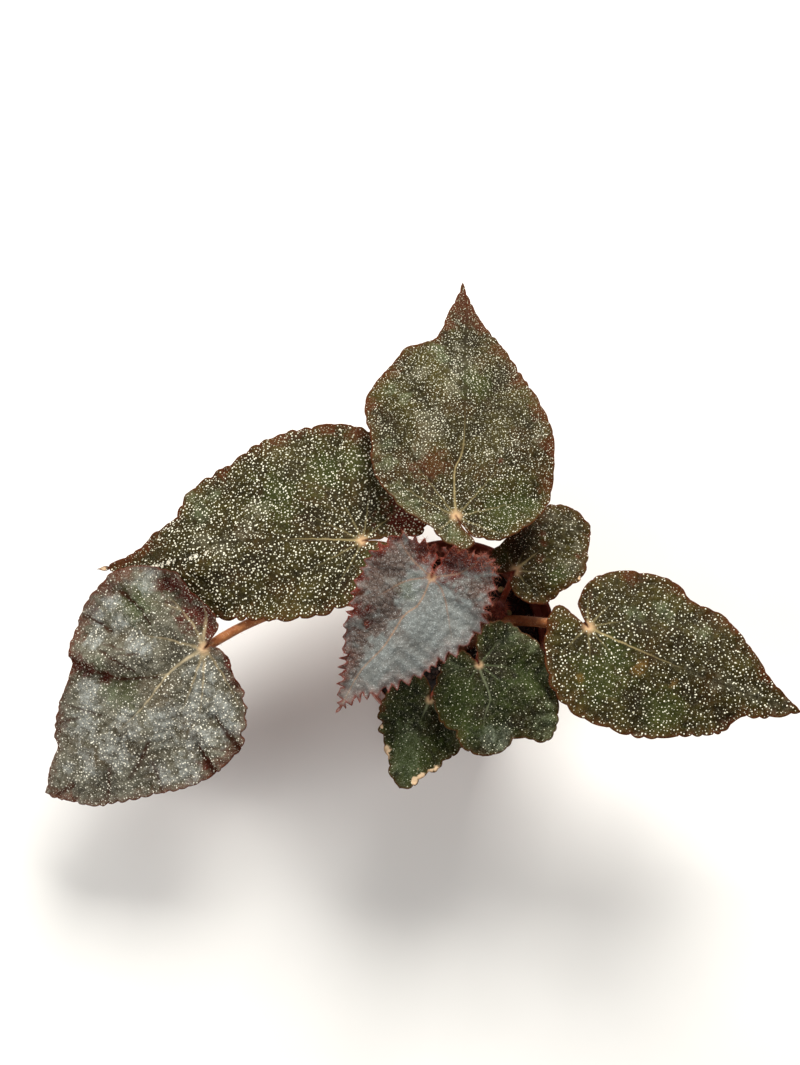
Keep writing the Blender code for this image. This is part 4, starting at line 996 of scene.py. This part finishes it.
def blade_masks(leaf, spots, reach):
    """What a blade's finish needs to know at each point."""
    span = np.hypot(*spots.T)
    thin, wide, fade = VEIN_WIDTHS[leaf.skin]
    width = thin + wide * np.exp(-span / fade)
    main_reach, side_reach = leaf.shown
    crease = np.zeros(len(spots))
    for start, end, depth, across in leaf.creases:
        x, y = (spots - start).T
        # Painted shade along each crease, reaching further on one side of its line.
        sharp = np.where((end[0] - start[0]) * y > (end[1] - start[1]) * x, 1, LIP)
        crease_shade = groove(distance_to(spots, [[start, end]]) * sharp, across)
        crease = np.maximum(crease, min(1, depth + 0.3) * crease_shade)
    small = relief(leaf, spots, reach)
    low, high = np.percentile(small, (8, 92))
    masks = {
        # rise comes from the small relief and later paints the raised panels lighter and the hollows darker.
        "rise": np.clip((small - low) / (high - low), 0, 1),
        "midrib": groove(reach.midrib, width) * np.clip(1.4 - span / main_reach, 0, 1),
        "vein": groove(reach.vein, 0.8 * width) * np.clip(1.4 - span / side_reach, 0, 1),
        "star": groove(span, STAR[leaf.skin]),
        "rib": groove(reach.rib, 0.9),
        "valley": groove(np.minimum(reach.midrib, reach.vein), 2.6),
        "streak": streaks(leaf, spots),
        "net": groove(reach.gap, 0.14 * leaf.cells[0]),
        "rim": np.exp(-reach.rim / 0.9),
        "shore": np.exp(-reach.rim / 4.5),
        "crease": crease,
    }
    for tint in TINTS:
        masks[tint] = tint_at(leaf, spots, tint)
    return masks


def blade_mesh(leaf, sheet):
    """The fine mesh of a blade, with its masks as attributes of its points."""
    points, edges = blade_points(leaf, sheet)
    flat, _, faces, *_ = delaunay_2d_cdt(points, edges, [list(range(len(sheet.outline)))], 1, 0.05)
    spots = np.array(flat)
    reach = reach_of(sheet, spots)
    heights = blade_heights(leaf, spots, reach)
    masks = blade_masks(leaf, spots, reach)
    thick = BLADE_THICKNESS * (1 - 0.55 * np.exp(-reach.rim / 1.5))
    masks["depth"] = thick + UNDER_VEIN * groove(np.minimum(reach.midrib, reach.vein), 0.8)
    bm = bmesh.new()
    layers = {name: bm.verts.layers.float.new(name) for name in masks}
    top = [bm.verts.new((x, y, z)) for (x, y), z in zip(flat, heights)]
    for name in masks:
        layer = layers[name]
        for vert, value in zip(top, masks[name].tolist()):
            vert[layer] = value
    for face in faces:
        bm.faces.new([top[number] for number in face])
    bmesh.ops.delete(bm, geom=[vert for vert in bm.verts if not vert.link_faces], context="VERTS")
    grown = bmesh.ops.extrude_face_region(bm, geom=bm.faces[:], use_keep_orig=True)["geom"]
    depth = bm.verts.layers.float["depth"]
    for part in grown:
        if isinstance(part, bmesh.types.BMVert):
            part.co.z -= part[depth]
        elif isinstance(part, bmesh.types.BMFace):
            part.material_index = 1
    bm.verts.layers.float.remove(depth)
    bmesh.ops.recalc_face_normals(bm, faces=bm.faces[:])
    base, turn = stand_of(leaf)
    matrix = Matrix.Translation(Vector(base) * MM) @ Matrix(turn.tolist()).to_4x4() @ Matrix.Scale(MM, 4)
    bmesh.ops.transform(bm, matrix=matrix, verts=bm.verts[:])
    return bm


class Skin(NamedTuple):
    """Colours of a blade's upper face, and a slot name, which is not used."""
    slot: str
    dark: tuple
    light: tuple
    brown: tuple
    rust: tuple
    silver: tuple
    midrib: tuple
    vein: tuple
    shore: float         # how far the margin's colour spreads inwards
    grain: float         # how strongly the surface glitters with fine pale grains
    dot_low: tuple
    dot_high: tuple


SKINS = {
    "olive": Skin("blade_olive", srgb(36, 30, 10), srgb(76, 69, 33), srgb(66, 43, 17), srgb(84, 38, 16),
                  srgb(134, 130, 110), srgb(166, 150, 108), srgb(126, 116, 82), 0.4, 0.08,
                  srgb(166, 160, 126), srgb(255, 253, 232)),
    "grey": Skin("blade_grey", srgb(62, 55, 38), srgb(124, 122, 108), srgb(80, 60, 40), srgb(88, 36, 16),
                 srgb(164, 169, 166), srgb(196, 180, 146), srgb(168, 152, 120), 0.5, 0.25,
                 srgb(176, 168, 140), srgb(255, 252, 236)),
    "silver": Skin("blade_silver", srgb(106, 108, 105), srgb(128, 131, 128), srgb(116, 106, 98),
                   srgb(116, 44, 30), srgb(136, 144, 143), srgb(152, 124, 102), srgb(132, 106, 90), 0.3, 0.3,
                   srgb(180, 182, 180), srgb(230, 232, 230)),
    "green": Skin("blade_green", srgb(20, 23, 9), srgb(58, 65, 32), srgb(46, 36, 17), srgb(80, 42, 19),
                  srgb(120, 128, 112), srgb(108, 114, 88), srgb(84, 92, 66), 0.2, 0.14,
                  srgb(124, 126, 94), srgb(236, 236, 208)),
}
PEACH = srgb(226, 184, 142)
# RISE is how much each skin's raised panels are painted lighter than its hollows, a painted light and shade; SILVERED
# is how strongly its silver patches, in part painted sheen, show.
RISE = {"olive": 0.3, "grey": 0.4, "silver": 0.05, "green": 0.25}
SILVERED = {"olive": 0.5, "grey": 1.0, "silver": 0.8, "green": 0.8}


def upper_finish(leaf):
    """The upper face: ground colour, patches, glittering grain, net of veins, star at the junction, with painted shade
    in its hollows, creases and shaded patches, and painted sheen and glare on its panels.
    """
    skin = SKINS[leaf.skin]
    face = Finish("blade " + leaf.name, Specular_IOR_Level=0.08)
    clouds = face.noise(11, 3)
    mottle = face.noise(3.4, 5, 0.68)
    grit = face.noise(1.1, 5, 0.68)
    fine = face.noise(0.5, 3)
    streak = face.mask("streak")
    uneven = (mottle - 0.5) * 1.6 + (grit - 0.5) * 0.9 + streak * 0.25
    # The rise mask paints raised panels lighter and hollows darker, and the streaks paint lit and shaded bands between
    # the veins: painted light and shade.
    tone = clouds * 0.3 + mottle * 0.25 + grit * 0.3 + streak * 0.12 + face.mask("rise") * RISE[leaf.skin]
    ground = face.mix(face.fit(tone, 0.3, 0.7 + RISE[leaf.skin] / 2), skin.dark, skin.light)
    ground = face.mix(face.fit(face.noise(15, 2) + uneven * 0.25, 0.48, 0.66) * 0.5, ground, skin.brown)
    # Painted shade: the sunk side veins, the net between the puckers and the hollows beside the main veins are
    # darkened.
    ground = face.mix(face.mask("rib") * 0.3 + face.mask("net") * 0.22 + face.mask("valley") * 0.2, ground,
                      skin.dark)
    sugar = face.fit(fine * 0.6 + grit * 0.5, 0.45, 0.66)
    sugared = sugar * 0.75 + 0.25
    # The grey and silver patches are painted sheen, kept off the sunk veins by panels; the silver is partly the leaf's
    # own silvery colour.
    panels = sugared * (1 - face.mask("valley") * 0.45 - face.mask("rib") * 0.4)
    # The dark patches are painted shade: shadows cast by the leaves above, and sides that turn from the light.
    patches = [("green", srgb(62, 74, 34), 0.45, 1), ("grey", srgb(112, 124, 94), 0.6, panels),
               ("dark", srgb(28, 19, 9), 0.5, 1), ("silver", skin.silver, SILVERED[leaf.skin], panels),
               ("yellow", srgb(132, 98, 46), 0.4, 1), ("purple", srgb(84, 66, 58), 0.8, 1),
               # The maroon patches are partly the real maroon of folded lobes and partly painted shade in folds and
               # under the back leaf.
               ("rust", skin.rust, 0.5, 1), ("maroon", srgb(74, 22, 13), 0.9, 1)]
    present = {kind for kind, *_ in leaf.marks}
    for tint, colour, strength, grain in patches:
        if tint in present:
            ragged = face.fit(face.mask(tint) + uneven * 0.7, 0.22, 0.8) * face.fit(face.mask(tint), 0.02, 0.25)
            ground = face.mix(ragged * strength * grain, ground, colour)
    # Painted shade in the pits between the puckers of the purple panel.
    if "purple" in present:
        pits = face.fit(face.mask("purple"), 0.2, 0.6) * face.mask("net")
        ground = face.mix(pits * 0.7, ground, srgb(52, 36, 30))
    ground = face.mix(face.fit(face.mask("shore") + uneven * 0.7, 0.35, 1.0) * skin.shore, ground, skin.rust)
    glitter = face.fit(fine + grit * 0.4, 0.74, 0.95)
    ground = face.mix(glitter * skin.grain, ground, skin.dot_high)
    # Painted shade in the creases.
    ground = face.mix(face.fit(face.mask("crease") + uneven * 0.4, 0.15, 0.85) * 0.85, ground, srgb(58, 28, 13))
    ground = face.mix(face.fit(face.mask("vein"), 0.15, 0.85) * 0.75, ground, skin.vein)
    ground = face.mix(face.fit(face.mask("midrib"), 0.15, 0.85) * 0.8, ground, skin.midrib)
    ground = face.mix(face.fit(face.mask("star"), 0.1, 0.95) * 0.85, ground, PEACH)
    if "pale" in present:
        ground = face.mix(face.fit(face.mask("pale") + uneven * 0.5, 0.5, 0.7), ground, srgb(230, 198, 160))
    # Painted glare: a pale streak of highlight laid along the left leaf.
    if "shine" in present:
        ground = face.mix(face.fit(face.mask("shine") + (grit - 0.5) * 1.5, 0.5, 0.8), ground,
                          srgb(232, 226, 208))
    if "purple" in present:
        ground = face.mix(face.fit(face.mask("maroon") * face.mask("net"), 0.4, 0.9) * 0.5, ground,
                          srgb(168, 92, 70))
    ground = face.mix(face.fit(face.mask("rim") + uneven * 0.4, 0.4, 1.0) * 0.8, ground, skin.rust)
    face.feed(Base_Color=ground,
              Roughness=face.fit(grit + clouds * 0.5, -0.9, 2.0),
              Normal=face.bump(grit, 0.3, face.bump(face.cells(0.9), 0.14)))
    return face


under_finish = Finish("blade underside", Specular_IOR_Level=0.3)
under_clouds = under_finish.noise(7, 4)
under_ground = under_finish.mix(under_finish.fit(under_clouds, 0.3, 0.7), srgb(74, 26, 28), srgb(118, 50, 44))
under_veins = under_finish.mask("midrib") * 0.5 + under_finish.mask("vein") * 0.5 + under_finish.mask("net") * 0.3
under_finish.feed(Base_Color=under_finish.mix(under_veins, under_ground, srgb(168, 104, 80)),
                  Roughness=under_finish.fit(under_clouds, -1.2, 1.9),
                  Normal=under_finish.bump(under_finish.noise(0.9, 3), 0.1))
sheets = {leaf.name: sheet_of(leaf) for leaf in LEAVES}
for leaf in LEAVES:
    mesh = blade_mesh(leaf, sheets[leaf.name])
    blade = add_object("leaf_" + leaf.name, mesh, upper_finish(leaf), under_finish, smooth=180)
    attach(blade, "root")
    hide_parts("blade_" + leaf.name)

# Dots: the pale raised blisters that cover the upper faces, each a low dome of clear skin. They keep
# off the midrib and the margin, and the youngest leaf has only fine silvery ones.


def lifted(leaf, spots, above=0.0):
    """Places on a blade's upper face and the way it faces there, in the plant's frame."""
    nudge = 0.4
    around = [spots + shift for shift in ((0, 0), (nudge, 0), (0, nudge))]
    height, ahead, beside = (blade_heights(leaf, place, reach_of(sheets[leaf.name], place)) for place in around)
    normals = np.stack([(height - ahead) / nudge, (height - beside) / nudge, np.ones(len(spots))], axis=1)
    normals /= np.linalg.norm(normals, axis=1)[:, None]
    base, turn = stand_of(leaf)
    places = base + np.column_stack([spots, height + above]) @ turn.T
    return places, normals @ turn.T


def dot_places(leaf, rng):
    """Where a blade's dots are: an uneven scatter that keeps off the midrib and the margin."""
    sheet = sheets[leaf.name]
    spots = lattice(sheet.outline, leaf.dots[0], 0.48, rng)
    spots = spots[is_inside(spots, sheet.outline)]
    clear = distance_to(spots, sheet.veins[:1]) > 0.6
    clear &= distance_to(spots, [sheet.outline + sheet.outline[:1]]) > 0.5
    spots = spots[clear & (np.hypot(*spots.T) > 2)]
    sparse = 0.12 + 0.3 * noise_at(spots, 5, leaf.length) - 0.2 * streaks(leaf, spots)
    return spots[rng.uniform(0, 1, len(spots)) > sparse]


def dot_shape():
    """A low dome, 1 in radius."""
    bm = bmesh.new()
    bmesh.ops.create_icosphere(bm, subdivisions=1, radius=1)
    return bm


for leaf in LEAVES:
    dot_rng = np.random.default_rng(int(leaf.length * 10))
    spots = dot_places(leaf, dot_rng)
    places, normals = lifted(leaf, spots)
    count = len(spots)
    plump = dot_rng.uniform(0, 1, count) ** 1.6
    plump += 0.3 * noise_at(spots, 7, leaf.length + 9) + 0.3 * noise_at(spots, 2.6, leaf.length + 4)
    # Dots grow and brighten under the painted sheen of the silver patches and under the painted glare, and shrink on
    # the rust.
    plump = np.clip(plump + 0.25 * tint_at(leaf, spots, "silver") - 0.3 * tint_at(leaf, spots, "rust"), 0, 1)
    plump += 0.5 * tint_at(leaf, spots, "shine")
    radii = leaf.dots[1] * (0.4 + 0.6 * plump)
    turns = frames(normals, dot_rng.uniform(0, math.tau, count), radii, radii * 0.5)
    skin = SKINS[leaf.skin]
    dot_finish = shaded_finish("dots " + leaf.name, skin.dot_low, skin.dot_high, 0.45, 0.3, 0.01)
    shades = 0.25 + 0.6 * plump + 0.45 * dot_rng.uniform(0, 1, count)
    # Dots are dimmed in the painted shade of the dark and maroon patches, and on the rust.
    for tint in ("dark", "maroon", "rust"):
        shades -= 0.35 * tint_at(leaf, spots, tint)
    dots = add_object("dots_" + leaf.name, copies("dots_" + leaf.name, dot_shape(), turns, places, shades),
                      dot_finish, smooth=180)
    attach(dots, "root")

# Petioles: fleshy stalks, tan to red, that carry the blades from the rhizome. They thin upwards,
# spread a little under the blade, and wear a sparse coat of white hairs.
PETIOLE_STEPS = 44
PETIOLE_CLEAR = 1.35
PETIOLE_ROOT = 3.5
HAIRS_PER_MM = 1.5


def petiole_route(leaf):
    """The petiole's line, as the solid's, with a stretch added into the rhizome and up to the blade."""
    base, turn = stand_of(leaf)
    normal = Vector(turn @ (0, 0, 1))
    lean = math.sin(normal.angle(Vector(leaf.arrive)))
    end = Vector(base) - normal * (PETIOLE_CLEAR + leaf.petiole * lean)
    start = Vector(leaf.root)
    path = interpolate_bezier(start, start + Vector(leaf.leave), end - Vector(leaf.arrive), end, PETIOLE_STEPS)
    below = start - Vector(leaf.leave).normalized() * PETIOLE_ROOT
    return [below] + list(path) + [Vector(base) - normal * 0.6]


def petiole_finish(name, low, high):
    stalk = Finish(name, Specular_IOR_Level=0.4)
    clouds = stalk.noise(6, 3)
    streaks = stalk.noise(1.2, 3)
    flecks = stalk.fit(stalk.noise(0.9, 2), 0.62, 0.72)
    body = stalk.mix(stalk.fit(clouds + streaks * 0.5, 0.5, 1), low, high)
    stalk.feed(Base_Color=stalk.mix(flecks * 0.5, body, srgb(214, 170, 120)),
               Roughness=stalk.fit(clouds, -0.9, 1.8),
               Normal=stalk.bump(streaks, 0.08))
    return stalk


tan_stalk = petiole_finish("petiole tan", srgb(132, 74, 42), srgb(186, 122, 74))
red_stalk = petiole_finish("petiole red", srgb(118, 40, 28), srgb(168, 84, 56))
RED_STALKED = ("small", "centre", "front", "front_low")
for leaf in LEAVES:
    route = petiole_route(leaf)
    count = len(route)
    radii = [leaf.petiole * (1.15 - 0.2 * number / (count - 1)) for number in range(count)]
    radii[-1] *= 1.35
    stalk_finish = red_stalk if leaf.name in RED_STALKED else tan_stalk
    stalk = add_object("stalk_" + leaf.name, roughened(tube(route, radii, 4), 2.5, 0.12), stalk_finish, smooth=180)
    rng = np.random.default_rng(int(leaf.length) + 50)
    line = np.array(route[1:-1])
    total = int(HAIRS_PER_MM * np.linalg.norm(np.diff(line, axis=0), axis=1).sum())
    places = rng.integers(0, len(line) - 1, total)
    shares = rng.uniform(0, 1, total)[:, None]
    along = line[places + 1] - line[places]
    centres = line[places] + along * shares
    outward = rng.normal(0, 1, (total, 3))
    along /= np.linalg.norm(along, axis=1)[:, None]
    outward -= along * (outward * along).sum(axis=1)[:, None]
    outward /= np.linalg.norm(outward, axis=1)[:, None]
    hair_mesh = hairs("stalk_hairs_" + leaf.name, centres + outward * leaf.petiole * 0.95,
                      outward + rng.normal(0, 0.3, (total, 3)), rng.uniform(0.8, 2.0, total), 0.06, 0.3,
                      int(leaf.length) + 51)
    stalk_hairs = add_object("stalk_hairs_" + leaf.name, hair_mesh, pale_hair)
    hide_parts("petiole_" + leaf.name)
    for made in (stalk, stalk_hairs):
        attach(made, "root")

# Margin hairs: short brown hairs stand along every margin, and the youngest leaf has long pink ones
# that curl off its teeth and out of the fold behind its junction.
MARGIN_HAIR = (0.9, 0.6, 0.035)
YOUNG_HAIR = (2.6, 1.8, 0.06)
FOLD_HAIRS = 620
FOLD_LINE = [(-11, -13), (-14, -6), (-16, 1), (-19, 9), (-17, 17)]


def hairs_on(leaf, spots, ways, lengths, width, seed, finish, name):
    """Hairs that stand on a blade, with their ways in the blade's own frame."""
    places, _ = lifted(leaf, spots, -0.25)
    rng = np.random.default_rng(seed)
    turned_ways = ways @ stand_of(leaf)[1].T + rng.normal(0, 0.3, (len(spots), 3))
    made = add_object(name, hairs(name, places, turned_ways, lengths, width, 0.5, seed, curl=4), finish)
    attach(made, "root")


for leaf in LEAVES:
    young = leaf.skin == "silver"
    per_mm, longest, width = YOUNG_HAIR if young else MARGIN_HAIR
    rng = np.random.default_rng(int(leaf.length) + 80)
    outline = sheets[leaf.name].outline
    ring = np.array(outline + outline[:1])
    sides = np.diff(ring, axis=0)
    lengths = np.linalg.norm(sides, axis=1)
    share = lengths / lengths.sum()
    total = int(per_mm * lengths.sum())
    chosen = rng.choice(len(sides), total, p=share)
    spots = ring[chosen] + sides[chosen] * rng.uniform(0, 1, total)[:, None]
    outward = np.stack([sides[chosen, 1], -sides[chosen, 0]], axis=1) / lengths[chosen, None]
    ways = np.column_stack([outward, rng.normal(0.25, 0.4, total)])
    sizes = longest * rng.uniform(0.4, 1, total)
    if young:
        sizes *= np.where(spots[:, 0] < 3, 1, 0.4)
    hairs_on(leaf, spots - outward * 0.3, ways, sizes, width, int(leaf.length) + 81, red_hair if young else pale_hair,
             "margin_hairs_" + leaf.name)
centre = next(leaf for leaf in LEAVES if leaf.skin == "silver")
fold_rng = np.random.default_rng(77)
fold_path = np.array(smooth_path(FOLD_LINE, 0.5))
fold_spots = fold_path[fold_rng.integers(0, len(fold_path), FOLD_HAIRS)] + fold_rng.normal(0, 1.8, (FOLD_HAIRS, 2))
fold_spots = fold_spots[is_inside(fold_spots, sheets["centre"].outline)]
fold_ways = np.column_stack([fold_rng.normal(0, 0.7, (len(fold_spots), 2)), np.full(len(fold_spots), 0.8)])
hairs_on(centre, fold_spots, fold_ways, fold_rng.uniform(1.0, 2.8, len(fold_spots)), 0.085, 78, red_hair, "fold_hairs")

# Floor, light and camera: a plain pale floor under soft light from above and behind, seen by a camera
# that looks down on the plant from the front.
floor_bm = bmesh.new()
bmesh.ops.create_grid(floor_bm, x_segments=1, y_segments=1, size=4)
floor_finish = Finish("floor paper", Specular_IOR_Level=0.1)
floor_clouds = floor_finish.noise(60, 3)
floor_finish.feed(Base_Color=floor_finish.mix(floor_clouds, srgb(236, 236, 234), srgb(244, 244, 243)),
                  Roughness=floor_finish.fit(floor_clouds, -3, 1.2))
floor = add_object("floor", floor_bm, floor_finish)

world = bpy.data.worlds.new("studio")
world.use_nodes = True
world.node_tree.nodes["Background"].inputs["Color"].default_value = (1.0, 0.97, 0.93, 1)
world.node_tree.nodes["Background"].inputs["Strength"].default_value = 0.24
bpy.context.scene.world = world
LAMPS = [
    ("window", (0.2, 0.8, 1.05), (0, 0, 0.1), 0.6, 22, (1.0, 0.97, 0.91)),
    ("fill", (-0.9, -0.45, 0.9), (0, 0, 0.1), 0.6, 9, (1.0, 0.98, 0.95)),
]
for name, place, target, size, power, colour in LAMPS:
    lamp = bpy.data.lights.new(name, "AREA")
    lamp.size = size
    lamp.energy = power
    lamp.color = colour
    holder = bpy.data.objects.new(name, lamp)
    holder.location = place
    holder.rotation_euler = (Vector(target) - Vector(place)).to_track_quat("-Z", "Y").to_euler()
    bpy.context.scene.collection.objects.link(holder)

CAMERA_PLACE = (-23.8, -129.4, 519.5)
CAMERA_ELEVATION = 68
lens = bpy.data.cameras.new("camera")
lens.lens = 35
lens.sensor_width = 36
camera = bpy.data.objects.new("camera", lens)
camera.location = Vector(CAMERA_PLACE) * MM
camera.rotation_euler = (math.radians(90 - CAMERA_ELEVATION), 0, 0)
bpy.context.scene.collection.objects.link(camera)
bpy.context.scene.camera = camera
bpy.context.scene.view_settings.view_transform = "Standard"
